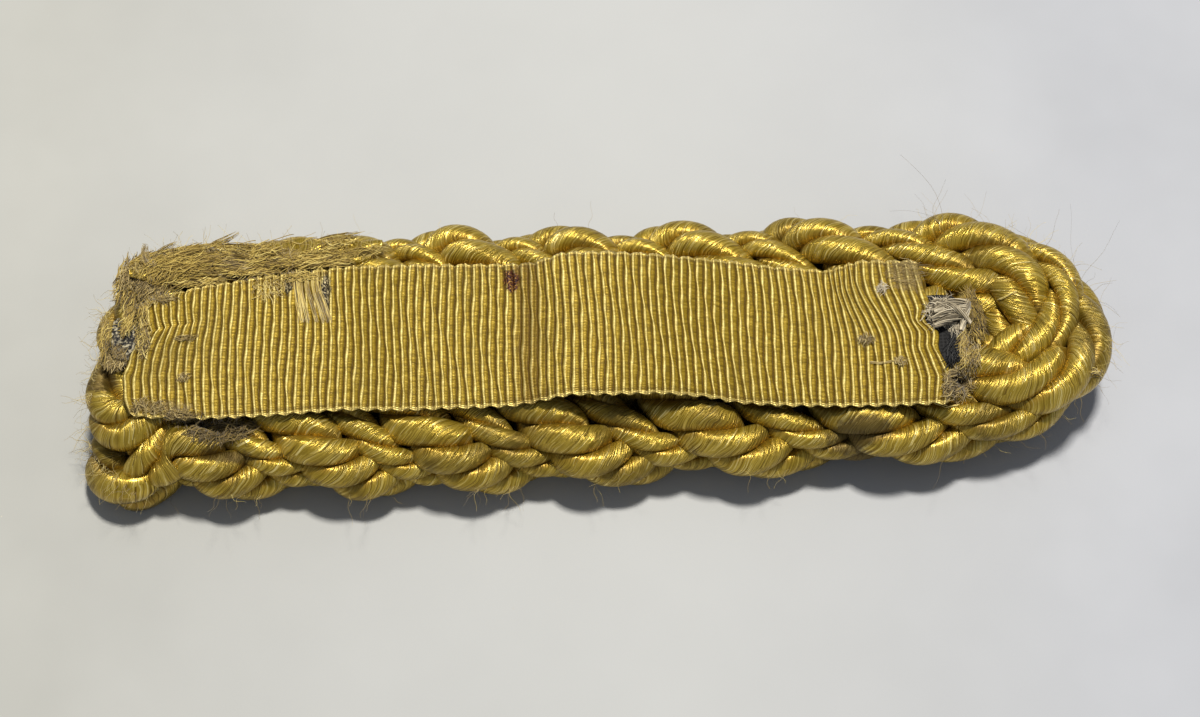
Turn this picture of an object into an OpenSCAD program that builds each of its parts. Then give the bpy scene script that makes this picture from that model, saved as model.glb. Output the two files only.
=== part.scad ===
// Plaited shoulder board of wound gold cord, lying reverse side up.
// Two thick and two thin three-ply cords are laid up together and run as a U:
// along the lower leg, round the button end, and back along the upper leg.
// A grosgrain ribbon lies on the back and is sewn down at both ends.
// Units are millimetres. +X runs from the shoulder end to the button end,
// +Y is across the board, +Z points up from the surface it lies on.
// The tables measure x from the shoulder end and y from the line between the
// legs; placed() then moves every part so that the middle of the board is at zero.

/* [Board] */
// distance from the shoulder end to the centre of the round button end
leg_length = 118.9; // [90:0.5:140]
// radius of the turn of the leg centre line at the button end
turn_radius = 9.5; // [8:0.1:12]
// how far the button end stands up from the surface
toe_lift = 3; // [0:0.5:6]
// where the board starts to rise towards the button end
lift_start = 60; // [30:5:90]
// distance from the shoulder end to the middle of the board
middle_x = 68.74; // [50:0.1:90]
// how far the middle of the board is off the line between the legs
middle_y = 0.02; // [-1:0.05:1]

/* [Cords] */
// distance of the cord ends from the shoulder end, under the ribbon
far_inset = 8.6; // [6:0.1:14]
// half width of the ring that the thick cords follow
ring_half_width = 5.2; // [4.5:0.1:7]
// half width of the ring that the thin cords follow
thin_half_width = 4.9; // [4.5:0.1:7]
// how much further the ring reaches towards the other leg
inner_reach = 1.08; // [1:0.01:1.12]
// half height of the ring of the thick cords
ring_half_height = 3.1; // [2.8:0.05:4]
// half height of the ring of the thin cords
thin_half_height = 3.2; // [2.8:0.05:4]
// how much a cord lingers at the sides of the leg and hurries across it
lay_warp = 0.25; // [0:0.05:0.4]
// how far the thin cords run ahead of their quarter of the ring, in turns
thin_shift = 0.005; // [0:0.005:0.06]
// inner half width of the ring at the round button end
turn_half_width = 5; // [3:0.1:6]
// share by which the ring is narrower on the outside of the turn
turn_press = 0.18; // [0:0.01:0.3]
// radius of a thick cord over its plies
thick_radius = 2.85; // [2:0.05:3.5]
// radius of a thin cord over its plies
thin_radius = 1.6; // [1.5:0.05:3]
// how far a cord bulges outwards, against its radius
bulge_out = 1.14; // [1:0.01:1.3]
// how far a cord is pressed in against the other cords, against its radius
press_in = 0.7; // [0.6:0.01:1]
// how wide a cord is sideways, against its radius
press_side = 0.95; // [0.8:0.01:1.1]
// how far the six corners of the three-ply section move in pairs, in degrees
ply_flat = 12; // [0:1:12]
// full turns of the plies for one crossing of the leg
ply_turns = 1.85; // [0.5:0.05:3]
// turn of the plies at the first crossing, in degrees
ply_start = 55; // [0:5:120]
// rings of points for one crossing of the leg
rings_per_crossing = 12; // [6:1:20]

/* [Ribbon] */
// thickness of the grosgrain ribbon
ribbon_t = 0.9; // [0.5:0.1:1.5]
// depth of the notch in the end of the ribbon by the button hole
end_notch = 1.4; // [0:0.1:3]
// gap between the ribbon and what it lies on
lay_gap = 0.15; // [0.05:0.05:0.5]

/* [Small parts] */
// thickness of the stiff black cloth at the two ends
cloth_t = 0.5; // [0.4:0.1:1.5]
// thickness of the grey thread of the bar tack
tack_thread = 1.1; // [0.6:0.1:2]
// depth of the worn skin of core yarn over the upper leg
worn_depth = 0.8; // [0.4:0.1:1.5]
// where the worn skin starts and ends along the board
worn_first = 6.5; // [4:0.5:12]
worn_last = 40; // [25:0.5:60]
// thickness of one lock of frayed core yarn
lock_t = 1.4; // [0.8:0.1:2]

/* [Hidden] */
turn_length = PI * turn_radius;
path_length = 2 * leg_length + turn_length;
ring_mid = ring_half_height + thick_radius * bulge_out;
top_z = 2 * ring_mid;

// Crossings of the leg: crossing number, distance along the leg centre line.
crossing_table = [
    [-2, -22.5],
    [-1, -5.2],
    [0, 11.5],
    [1, 28.1],
    [2, 43.9],
    [3, 60.2],
    [4, 78.1],
    [5, 98.5],
    [6, 121.5],
    [7, 144.5],
    [8, 164.5],
    [9, 181.8],
    [10, 197.8],
    [11, 213.0],
    [12, 227.8],
    [13, 242.4],
    [14, 257.0],
    [15, 271.6],
    [16, 286.2],
];

// Spread of the legs: distance from the shoulder end, offset of the lower and the upper leg.
spread_table = [
    [0, 9.9, 7.6],
    [14, 10.2, 8.2],
    [28, 10.4, 9.4],
    [42, 10.7, 10.7],
    [80, 10.1, 10.1],
    [118, 9.5, 9.5],
];

// Ribbon: x, lower edge y, upper edge y, height of the underside over the cords.
ribbon_table = [
    [7.5, -10.3, 5.2, 0],
    [10, -11, 6.7, 0],
    [15, -11.5, 7.8, 0.1],
    [25, -11.5, 9.1, 0.4],
    [35, -11, 10.1, 0.4],
    [43, -11, 10.5, -0.3],
    [57, -11, 10, -0.2],
    [60, -11, 9.5, 0.8],
    [64, -11, 10, 2.5],
    [70, -11.5, 9.5, 3.1],
    [76, -11.5, 9, 2.9],
    [82, -11.5, 9, 1.2],
    [86, -12, 9, 0.1],
    [92, -12.5, 8, -0.3],
    [99, -13, 7, -0.3],
    [106, -13.5, 8, 0.1],
    [113, -13.5, 7.5, 0],
];

// Locks of frayed yarn: x, arc length outwards, length, heading in degrees, rise of the tip.
lock_table = [
    [8.5, 6.2, 7, 118, 0.8],
    [11, 6.0, 7, 80, 0.6],
    [15, 5.2, 8, 30, 0.5],
    [18.5, 6.8, 6, 62, 1.2],
    [20, 3.9, 8, 6, 0.1],
    [20.5, 5.2, 8, 2, 0.1],
    [21.5, 3.0, 7, 9, 0.1],
    [28, 5.6, 7, 28, 0.5],
    [34, 5.2, 8, 16, 0.4],
];

// Starts of three cords at the shoulder end: crossing number, x, y, z.
// The last row is where the cord joins the lay of the leg.
thick_a_start = [
    [-0.26, 7.4, -12.0, 6.8],
    [-0.12, 9.2, -13.6, 7.1],
    [0.05, 12.3, -13.7, 8.4],
    [0.22, 15.2, -13.6, 9.3],
];
// The thin cord comes down the shoulder end and turns in over the others.
thin_a_start = [
    [-1.20, 7.4, 11.0, 6.6],
    [-1.02, 5.6, 7.6, 7.4],
    [-0.88, 5.2, 4.3, 7.9],
    [-0.73, 5.6, 0.9, 8.2],
    [-0.57, 4.9, -2.9, 8.4],
    [-0.42, 4.0, -6.5, 8.7],
    [-0.27, 4.9, -9.6, 9.3],
    [-0.10, 8.2, -10.1, 10.0],
    [0.10, 12.0, -8.9, 10.4],
    [0.30, 16.2, -8.6, 10.3],
    [0.50, 20.0, -10.3, 9.55],
];
thick_b_start = [
    [-0.62, 4.8, -9.0, 3.2],
    [-0.48, 3.6, -12.2, 3.5],
    [-0.33, 5.6, -15.1, 3.3],
    [-0.15, 9.2, -16.3, 3.5],
];

function clamp01(t) = max(0, min(1, t));
function smooth(t) = t * t * (3 - 2 * t);
function lift(x) = toe_lift * pow(max(0, x - lift_start) / (leg_length + 18 - lift_start), 2);

// Distance along the leg centre line at a crossing number, with rounded joints.
function along(u) = (lookup(u - 0.25, crossing_table) + lookup(u, crossing_table)
    + lookup(u + 0.25, crossing_table)) / 3;

// Crossing number at a distance along the path, found by halving.
function seek(s, lo, hi, n) = n == 0 ? (lo + hi) / 2 :
    along((lo + hi) / 2) < s ? seek(s, (lo + hi) / 2, hi, n - 1) : seek(s, lo, (lo + hi) / 2, n - 1);
// Start rows of the cord in each of the four slots.
start_rows = [thick_a_start, thin_a_start, thick_b_start, []];
// First and last crossing number of the cord in each of the four slots.
cord_ends = [
    [thick_a_start[0][0], seek(path_length - far_inset, 13, 16, 20)],
    [thin_a_start[0][0], seek(path_length - far_inset - 1, 13, 16, 20)],
    [thick_b_start[0][0], seek(path_length - far_inset + 0.6, 13, 16, 20)],
    [seek(far_inset + 4.2, -2, 1, 20), seek(path_length - far_inset, 13, 16, 20)],
];

// Offset of one leg from the middle: c is 1 for the lower leg and 2 for the upper leg.
function spread(x, c) = lookup(x, [for (r = spread_table) [r[0], r[c]]]);

// Centre line of the U: x, y and heading in degrees.
function centre(s) =
    s < leg_length ? [s, -spread(s, 1), 0] :
    s < leg_length + turn_length ?
        let (a = (s - leg_length) / turn_radius * 180 / PI)
        [leg_length + turn_radius * sin(a), -turn_radius * cos(a), a] :
    let (x = leg_length - (s - leg_length - turn_length)) [x, spread(x, 2), 180];

// Share of the turn at a place on the path, with soft ends.
function turn_share(s) = smooth(clamp01((s - leg_length + 16) / 18)
    * clamp01((leg_length + turn_length + 16 - s) / 18));

// Point on the flattened ring: share of a turn, flat half length, end radius.
function ring_point(t, c, r) =
    let (q = PI * r / 2)
    let (d = (t - floor(t)) * (4 * c + 4 * q))
    let (k = 180 / PI / r)
    d < q ? [c + r * cos(d * k), r * sin(d * k)] :
    d < q + 2 * c ? [c - (d - q), r] :
    d < 3 * q + 2 * c ? [-c - r * sin((d - q - 2 * c) * k), r * cos((d - q - 2 * c) * k)] :
    d < 3 * q + 4 * c ? [-c + (d - 3 * q - 2 * c), -r] :
    [c + r * sin((d - 3 * q - 4 * c) * k), -r * cos((d - 3 * q - 4 * c) * k)];

// Cords draw in a little where they end.
function gather(u, slot) = sqrt(clamp01(min(u - cord_ends[slot][0], cord_ends[slot][1] - u) / 0.3));

// Point of the start rows at a crossing number, with rounded corners.
function start_row(rows, u) = [for (c = [1:3]) lookup(u, [for (r = rows) [r[0], r[c]]])];
function start_at(rows, u) = (start_row(rows, u - 0.08) + start_row(rows, u - 0.04)
    + start_row(rows, u) + start_row(rows, u + 0.04) + start_row(rows, u + 0.08)) / 5;

// Share of the lay of the leg at a crossing number: 0 in the start rows, 1 after them.
function lay_share(u, slot) =
    let (rows = start_rows[slot])
    len(rows) == 0 ? 1 : smooth(clamp01((u - rows[len(rows) - 1][0] + 0.25) / 0.25));

// Place of a cord axis. slot is 0 to 3 round the ring, wide is the ring half width.
function cord_at(u, slot, wide) =
    let (w = lay_share(u, slot))
    w >= 1 ? ring_at(u, slot, wide) :
    w <= 0 ? start_at(start_rows[slot], u) :
    (1 - w) * start_at(start_rows[slot], u) + w * ring_at(u, slot, wide);

// Share of a turn round the ring at a crossing number.
function phase(u, slot) =
    let (t = u / 2 - slot / 4 + 0.25 + (slot % 2 == 1 ? thin_shift : 0))
    t - lay_warp * sin(720 * t) / (4 * PI);

// Place of a cord axis on the ring.
function ring_at(u, slot, wide) =
    let (s = along(u))
    let (high = slot % 2 == 1 ? thin_half_height : ring_half_height)
    let (p = ring_point(phase(u, slot), wide - high, high))
    let (f = inner_reach - turn_share(s) * (inner_reach - turn_half_width / wide))
    let (y = p[0] > 0 ? p[0] * f : p[0] * (1 - turn_press * turn_share(s)))
    let (m = centre(s))
    [m[0] - sin(m[2]) * y, m[1] + cos(m[2]) * y,
        ring_mid + p[1] + lift(m[0] - sin(m[2]) * y)];

// Middle of the leg, used to tell which way is outwards.
function leg_at(u) = let (m = centre(along(u))) [m[0], m[1], ring_mid + lift(m[0])];

function unit(v) = v / norm(v);

// Radius of the cord: it is slimmer inside the turn and draws in at its ends.
// The loose start of the thin cord down the shoulder end is fuller.
function cord_r(u, slot, r) =
    let (side = cos(360 * phase(u, slot)))
    let (w = turn_share(along(u)))
    r * (1 - 0.1 * w * max(0, side)) * (0.62 + 0.38 * gather(u, slot))
        * (slot == 1 ? 1 + 0.5 * smooth(clamp01((0.3 - u) / 0.5)) : 1);

// Direction that turns the section of a cord: up at its start, outwards in the lay.
start_out = [[0, 0, 1], [0, 0, 1], [-0.6, -0.5, -0.6], [0, 0, 1]];

// One ring of six points round a cord axis. The points stand in three pairs, one pair a ply.
// The section bulges outwards and is pressed flatter against the other cords.
function cord_ring(u, slot, wide, r) =
    let (p = cord_at(u, slot, wide))
    let (t = unit(cord_at(u + 0.02, slot, wide) - cord_at(u - 0.02, slot, wide)))
    let (w = lay_share(u, slot))
    let (o = (1 - w) * start_out[slot] + w * unit(p - leg_at(u)))
    let (n = unit(o - (o * t) * t))
    let (b = cross(t, n))
    [for (i = [0:5])
        let (a = i * 60 + (i % 2 == 0 ? ply_flat : -ply_flat) + ply_start - ply_turns * 360 * u)
        let (q = cord_r(u, slot, r))
        let (f = cos(a) > 0 ? bulge_out : press_in)
        p + q * (f * cos(a) * n + press_side * sin(a) * b)];

// Faces of a tube from rings of m points with closed ends.
function tube_faces(rings, m) = concat(
    [[for (j = [0:m - 1]) j]],
    [for (i = [0:rings - 2]) for (j = [0:m - 1])
        [i * m + j, (i + 1) * m + j, (i + 1) * m + (j + 1) % m]],
    [for (i = [0:rings - 2]) for (j = [0:m - 1])
        [i * m + j, (i + 1) * m + (j + 1) % m, i * m + (j + 1) % m]],
    [[for (j = [m - 1:-1:0]) (rings - 1) * m + j]]);

module placed() {
    translate([-middle_x, -middle_y, 0]) children();
}

module tube(rings) {
    m = len(rings[0]);
    polyhedron(points = [for (r = rings) each r], faces = tube_faces(len(rings), m), convexity = 12);
}

module cord(slot, wide, r) {
    u0 = cord_ends[slot][0];
    u1 = cord_ends[slot][1];
    n = ceil((u1 - u0) * rings_per_crossing);
    tube([for (i = [0:n]) cord_ring(u0 + (u1 - u0) * i / n, slot, wide, r)]);
}

module thick_cord_a() {
    color("#b48a1e") placed() cord(0, ring_half_width, thick_radius);
}

module thick_cord_b() {
    color("#b48a1e") placed() cord(2, ring_half_width, thick_radius);
}

module thin_cord_a() {
    color("#a87f1a") placed() cord(1, thin_half_width, thin_radius);
}

module thin_cord_b() {
    color("#a87f1a") placed() cord(3, thin_half_width, thin_radius);
}

// Columns of the ribbon table looked up at one x.
function column(x, c) = lookup(x, [for (r = ribbon_table) [r[0], r[c]]]);
ribbon_base = top_z + cloth_t + 2 * lay_gap;
function ribbon_z(x) = ribbon_base + lift(x) + (column(x - 1, 3) + 2 * column(x, 3) + column(x + 1, 3)) / 4;

// Cross section of the ribbon at x, from the lower edge to the upper edge and back.
// Its points step back towards the notch that pulls away from the button hole.
across = [0, 0.08, 0.26, 0.36, 0.46, 0.58, 0.76, 0.92, 1];
function notch(x, w) = end_notch * pow(clamp01((x - ribbon_last + 6) / 6), 2)
    * exp(-pow((w - 0.46) / 0.13, 2));
function ribbon_point(x, w, t) =
    let (y0 = column(x, 1), y1 = column(x, 2))
    [x - notch(x, w), y0 + (y1 - y0) * w, ribbon_z(x) + t - 0.25 * pow(2 * w - 1, 4)];
function ribbon_ring(x) = concat(
    [for (w = across) ribbon_point(x, w, 0)],
    [for (k = [len(across) - 1:-1:0]) ribbon_point(x, across[k], ribbon_t)]);

ribbon_first = ribbon_table[0][0];
ribbon_last = ribbon_table[len(ribbon_table) - 1][0];

module ribbon_strap() {
    n = 42;
    color("#b89430") placed()
        tube([for (i = [0:n]) ribbon_ring(ribbon_first + (ribbon_last - ribbon_first) * i / n)]);
}

// Flat piece of stiff cloth with rounded corners, lying on the cords.
module cloth(x0, x1, y0, y1, z) {
    translate([0, 0, z]) linear_extrude(cloth_t)
        polygon([[x0 + 1, y0], [x1 - 1, y0], [x1, y0 + 1], [x1, y1 - 1], [x1 - 1, y1],
            [x0 + 1, y1], [x0, y1 - 1], [x0, y0 + 1]]);
}

module shoulder_end_cloth() {
    color("#1b1a17") placed() cloth(4.6, 14, -2.2, 4.2, top_z + lay_gap);
}

module button_end_cloth() {
    slope = atan((lift(115.6) - lift(105)) / 10.6);
    color("#15151a") placed() translate([105, 0, top_z + lay_gap + lift(105) + 0.05]) rotate([0, -slope, 0])
        cloth(0, 10.6, -7.6, 2.6, 0);
}

// Arched stitch of thick thread from one point to another.
function stitch_ring(a, b, h, f, r) =
    let (d = unit([b[0] - a[0], b[1] - a[1], 0]))
    let (s = [-d[1], d[0], 0])
    let (c = a + (b - a) * f + [0, 0, h * sin(180 * f)])
    [for (i = [0:5]) c + r * (0.55 + 0.45 * sin(180 * f)) * (cos(i * 60) * s + sin(i * 60) * [0, 0, 1])];

module stitch(a, b, h) {
    tube([for (i = [0:6]) stitch_ring(a, b, h, i / 6, tack_thread / 2)]);
}

module bar_tack() {
    // each stitch runs down from the ribbon to the stiff cloth past its end
    za = ribbon_base + lift(112) + ribbon_t + tack_thread / 4 + lay_gap;
    zb = za - 0.7;
    color("#a8a298") placed() union() {
        stitch([111.9, -2.8, za], [116.6, -0.9, zb], 0.6);
        stitch([111.6, -1.8, za], [117.0, 0.1, zb], 0.9);
        stitch([112.0, -0.6, za], [116.6, 1.0, zb], 0.8);
        stitch([112.6, 0.6, za], [116.8, -2.2, zb], 1.1);
        stitch([115.4, -3.2, zb], [116.8, 1.4, zb], 0.5);
    }
}

// Point on the worn skin over the upper leg: x, arc length outwards from the leg middle, height.
function skin_point(x, d, h) =
    let (c = ring_half_width - ring_half_height, r = ring_mid)
    let (a = max(0, d - c) / r * 180 / PI)
    let (m = spread(x, 2))
    [x, m + min(d, c) + (r + h) * sin(a), ring_mid + (r + h) * cos(a) + lift(x)];

// Cross section of the worn skin: lumpy outside, smooth inside.
function skin_ring(x) =
    let (f = (x - worn_first) / (worn_last - worn_first))
    let (w = worn_depth * (0.35 + 0.65 * pow(sin(180 * (0.04 + 0.92 * f)), 0.6)))
    let (e = 1 - pow(1 - min(1, 5 * min(f, 1 - f) + 0.25), 2))
    let (d0 = 3.4 - e * (2.2 + 0.4 * sin(x * 41)))
    let (d1 = 3.4 + e * (4.4 + 0.9 * sin(x * 27 + 60) - 3 * pow(f, 3)))
    concat(
        [for (k = [0:4]) skin_point(x, d0 + (d1 - d0) * k / 4, 0.2)],
        [for (k = [4:-1:0]) skin_point(x, d0 + (d1 - d0) * k / 4,
            0.35 + (k == 0 || k == 4 ? 0.15 : w * (0.8 + 0.35 * sin(x * 53 + k * 97))))]);

// Tapering wavy lock of yarn lying on the skin: x, arc length, length, heading.
function lock_ring(k, f, r) =
    let (c = skin_point(k[0] + cos(k[3]) * k[2] * (f - 0.5) - sin(k[3]) * 0.6 * sin(f * 300),
        k[1] + sin(k[3]) * k[2] * (f - 0.5) + cos(k[3]) * 0.6 * sin(f * 300),
        worn_depth + 0.3 + k[4] * f * f))
    [for (i = [0:5]) let (w = i * 60)
        c + r * (0.35 + 0.65 * sin(180 * min(1, f * 0.8 + 0.2)))
            * [-sin(k[3]) * cos(w), cos(k[3]) * cos(w), sin(w)]];

module frayed_core() {
    n = 18;
    color("#c2a765") placed() union() {
        tube([for (i = [0:n]) skin_ring(worn_first + (worn_last - worn_first) * i / n)]);
        for (k = lock_table)
            tube([for (i = [0:5]) lock_ring(k, i / 5, lock_t / 2)]);
    }
}

thick_cord_a();
thick_cord_b();
thin_cord_a();
thin_cord_b();
ribbon_strap();
shoulder_end_cloth();
button_end_cloth();
bar_tack();
frayed_core();
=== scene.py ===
import math
from collections import namedtuple
from functools import partial
import numpy as np
import bpy
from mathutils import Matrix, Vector
from mathutils.bvhtree import BVHTree


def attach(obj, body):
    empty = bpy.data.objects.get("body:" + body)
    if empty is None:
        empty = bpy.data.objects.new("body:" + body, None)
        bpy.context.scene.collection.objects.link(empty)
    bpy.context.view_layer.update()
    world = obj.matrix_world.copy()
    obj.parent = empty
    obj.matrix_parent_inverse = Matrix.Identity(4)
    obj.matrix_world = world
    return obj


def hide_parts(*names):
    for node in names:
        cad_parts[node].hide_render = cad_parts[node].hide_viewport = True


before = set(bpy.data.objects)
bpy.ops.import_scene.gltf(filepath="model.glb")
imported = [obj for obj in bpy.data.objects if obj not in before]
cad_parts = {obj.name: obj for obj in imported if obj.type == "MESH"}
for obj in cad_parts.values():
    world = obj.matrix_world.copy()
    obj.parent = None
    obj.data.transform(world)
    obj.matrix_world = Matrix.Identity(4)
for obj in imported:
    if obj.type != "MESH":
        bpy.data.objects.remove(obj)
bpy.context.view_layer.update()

# Every length below is in millimetres and becomes metres when a mesh is made.
# x runs from the shoulder end and y from the line between the legs.
MM = 0.001
LEG_LENGTH = 118.9
TURN_RADIUS = 9.5
# The board rises by this much to the button end, from one x to the other
TOE_LIFT = 3.0
LIFT_START = 60.0
LIFT_END = LEG_LENGTH + 18
# Place of the origin of the scene
MIDDLE = np.array([68.74, 0.02, 0])
# Where the lay of the cords ends on the upper leg
FAR_INSET = 8.6
# Flat ring round each leg that the cords follow, and its thin cords
RING_HALF_WIDTH = 5.2
THIN_HALF_WIDTH = 4.9
RING_HALF_HEIGHT = 3.1
THIN_HALF_HEIGHT = 3.2
# The lay reaches further towards the middle line, and crosses quicker than it runs along
INNER_REACH = 1.08
LAY_WARP = 0.25
THIN_SHIFT = 0.005
# At the turn the lay is narrower, and it starts to change this far before the turn, over this length
TURN_HALF_WIDTH = 5.0
TURN_PRESS = 0.18
TURN_LEAD = 16
TURN_BLEND = 18
# Cords, the turns of their plies between two crossings and the angle of the first ply in degrees
THICK_RADIUS = 2.85
THIN_RADIUS = 1.6
BULGE_OUT = 1.14
PLY_TURNS = 1.85
PLY_START = 85.0
# Strap and cloths
RIBBON_T = 0.9
RIBBON_WIDTH = 21.5
CLOTH_T = 0.5
LAY_GAP = 0.15
# Worn skin on the upper leg, from one x to the other
WORN_DEPTH = 0.8
WORN_FIRST = 6.5
WORN_LAST = 40.0
TURN_LENGTH = math.pi * TURN_RADIUS
PATH_LENGTH = 2 * LEG_LENGTH + TURN_LENGTH
RING_MID = RING_HALF_HEIGHT + THICK_RADIUS * BULGE_OUT
TOP_Z = 2 * RING_MID
RIBBON_BASE = TOP_Z + CLOTH_T + 2 * LAY_GAP


# Crossing number, distance along the leg centre line
CROSSINGS = np.array([
    (-2, -22.5), (-1, -5.2), (0, 11.5), (1, 28.1), (2, 43.9), (3, 60.2), (4, 78.1),
    (5, 98.5), (6, 121.5), (7, 144.5), (8, 164.5), (9, 181.8), (10, 197.8), (11, 213.0),
    (12, 227.8), (13, 242.4), (14, 257.0), (15, 271.6), (16, 286.2)])
# Distance from the shoulder end, offset of the lower and of the upper leg from the middle
SPREAD = np.array([(0, 9.9, 7.6), (14, 10.2, 8.2), (28, 10.4, 9.4), (42, 10.7, 10.7), (80, 10.1, 10.1),
                   (118, 9.5, 9.5)])
# x, lower edge y, upper edge y, height of the underside over the cords
RIBBON = np.array([
    (7.5, -10.3, 5.2, 0), (10, -11, 6.7, 0), (15, -11.5, 7.8, 0.1), (25, -11.5, 9.1, 0.4),
    (35, -11, 10.1, 0.4), (43, -11, 10.5, -0.3), (57, -11, 10, -0.2), (60, -11, 9.5, 0.8),
    (64, -11, 10, 2.5), (70, -11.5, 9.5, 3.1), (76, -11.5, 9, 2.9), (82, -11.5, 9, 1.2),
    (86, -12, 9, 0.1), (92, -12.5, 8, -0.3), (99, -13, 7, -0.3), (106, -13.5, 8, 0.1),
    (113, -13.5, 7.5, 0)])
# Starts of three cords at the shoulder end: crossing number, x, y, z
STARTS = {
    0: np.array([(-0.26, 7.4, -12.0, 6.8), (-0.12, 9.2, -13.6, 7.1), (0.05, 12.3, -13.7, 8.4),
                 (0.22, 15.2, -13.6, 9.3)]),
    1: np.array([
        (-1.20, 7.4, 11.0, 6.6), (-1.02, 5.6, 7.6, 7.4), (-0.88, 5.2, 4.3, 7.9),
        (-0.73, 5.6, 0.9, 8.2), (-0.57, 4.9, -2.9, 8.4), (-0.42, 4.0, -6.5, 8.7),
        (-0.27, 4.9, -9.6, 9.3), (-0.10, 8.2, -10.1, 10.0), (0.10, 12.0, -8.9, 10.4),
        (0.30, 16.2, -8.6, 10.3), (0.50, 20.0, -10.3, 9.55)]),
    2: np.array([(-0.62, 4.8, -9.0, 3.2), (-0.48, 3.6, -12.2, 3.5), (-0.33, 5.6, -15.1, 3.3),
                 (-0.15, 9.2, -16.3, 3.5)]),
}
# They go over into the lay in this share of a crossing
START_BLEND = 0.25
# Way outwards at the starts
START_OUT = {0: (0, 0, 1), 1: (0, 0, 1), 2: (-0.6, -0.5, -0.6), 3: (0, 0, 1)}


def clamp01(t):
    return np.clip(t, 0.0, 1.0)


def smooth(t):
    return t * t * (3 - 2 * t)


def unit(v):
    return v / np.linalg.norm(v, axis=-1, keepdims=True)


def look(x, table, column=1):
    return np.interp(x, table[:, 0], table[:, column])


def lift(x):
    # How far the board stands off the paper
    return TOE_LIFT * (np.maximum(0, x - LIFT_START) / (LIFT_END - LIFT_START)) ** 2


def along(u):
    # Distance along the centre line at a crossing number
    return (look(u - 0.25, CROSSINGS) + look(u, CROSSINGS) + look(u + 0.25, CROSSINGS)) / 3


def seek(s):
    # Crossing number at a distance along the centre line
    u = np.linspace(-1.9, 15.9, 20001)
    return float(np.interp(s, along(u), u))


# First and last crossing number of each cord. They end a little apart from each other.
CORD_ENDS = [
    (STARTS[0][0, 0], seek(PATH_LENGTH - FAR_INSET)),
    (STARTS[1][0, 0], seek(PATH_LENGTH - FAR_INSET - 1)),
    (STARTS[2][0, 0], seek(PATH_LENGTH - FAR_INSET + 0.6)),
    (seek(FAR_INSET + 4.2), seek(PATH_LENGTH - FAR_INSET)),
]


def centre(s):
    # Centre line of the legs and the turn: place and heading at a distance along it
    x_back = LEG_LENGTH - (s - LEG_LENGTH - TURN_LENGTH)
    a = (s - LEG_LENGTH) / TURN_RADIUS
    low, turn = s < LEG_LENGTH, s < LEG_LENGTH + TURN_LENGTH
    x = np.where(low, s, np.where(turn, LEG_LENGTH + TURN_RADIUS * np.sin(a), x_back))
    y_upper = np.where(turn, -TURN_RADIUS * np.cos(a), look(x_back, SPREAD, 2))
    y = np.where(low, -look(s, SPREAD), y_upper)
    heading = np.where(low, 0.0, np.where(turn, a, math.pi))
    return x, y, heading


def turn_share(s):
    # 0 on the legs, 1 on the turn
    in_share = clamp01((s - LEG_LENGTH + TURN_LEAD) / TURN_BLEND)
    out_share = clamp01((LEG_LENGTH + TURN_LENGTH + TURN_LEAD - s) / TURN_BLEND)
    return smooth(in_share * out_share)


def ring_point(t, c, r):
    # Place at a share of the way round a flat ring, with straight parts of 2 c and ends of radius r
    q = math.pi * r / 2
    d = (t - np.floor(t)) * (4 * c + 4 * q)
    steps = [d < q, d < q + 2 * c, d < 3 * q + 2 * c, d < 3 * q + 4 * c]
    side = np.select(steps, [c + r * np.cos(d / r), c - (d - q), -c - r * np.sin((d - q - 2 * c) / r),
                             -c + (d - 3 * q - 2 * c)], c + r * np.sin((d - 3 * q - 4 * c) / r))
    up = np.select(steps, [r * np.sin(d / r), r, r * np.cos((d - q - 2 * c) / r), -r],
                   -r * np.cos((d - 3 * q - 4 * c) / r))
    return side, up


def phase(u, slot):
    # Share of the way round the ring, which each cord goes once in two crossings, a quarter behind the last
    t = u / 2 - slot / 4 + 0.25 + (THIN_SHIFT if slot % 2 else 0.0)
    return t - LAY_WARP * np.sin(4 * math.pi * t) / (4 * math.pi)


def ring_at(u, slot, wide):
    # Place of a cord in the lay
    s = along(u)
    high = THIN_HALF_HEIGHT if slot % 2 else RING_HALF_HEIGHT
    side, up = ring_point(phase(u, slot), wide - high, high)
    turned = turn_share(s)
    reach = INNER_REACH - turned * (INNER_REACH - TURN_HALF_WIDTH / wide)
    y = np.where(side > 0, side * reach, side * (1 - TURN_PRESS * turned))
    x0, y0, h = centre(s)
    x = x0 - np.sin(h) * y
    return np.stack([x, y0 + np.cos(h) * y, RING_MID + up + lift(x)], -1)


def start_at(rows, u):
    # Place of a cord before the lay, evened out over a few crossing numbers
    near = (-0.08, -0.04, 0, 0.04, 0.08)
    return sum(np.stack([look(u + d, rows, c) for c in (1, 2, 3)], -1) for d in near) / len(near)


def lay_share(u, slot):
    # From 0 at the start of a cord to 1 in the lay
    if slot not in STARTS:
        return np.ones_like(u)
    return smooth(clamp01((u - STARTS[slot][-1, 0] + START_BLEND) / START_BLEND))


def cord_at(u, slot, wide):
    # Place of a cord along its whole length
    if slot not in STARTS:
        return ring_at(u, slot, wide)
    w = lay_share(u, slot)[:, None]
    return (1 - w) * start_at(STARTS[slot], u) + w * ring_at(u, slot, wide)


def leg_at(u):
    # Middle of the ring
    x, y, _ = centre(along(u))
    return np.stack([x, y, RING_MID + lift(x)], -1)


SLOPE_STEP = 0.02


def cord_frame(u, slot, wide):
    # Place of a cord, with its ways outwards and sideways
    p = cord_at(u, slot, wide)
    t = unit(cord_at(u + SLOPE_STEP, slot, wide) - cord_at(u - SLOPE_STEP, slot, wide))
    w = lay_share(u, slot)[:, None]
    o = (1 - w) * np.array(START_OUT[slot]) + w * unit(p - leg_at(u))
    n = unit(o - np.sum(o * t, -1, keepdims=True) * t)
    return p, n, np.cross(t, n)


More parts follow.
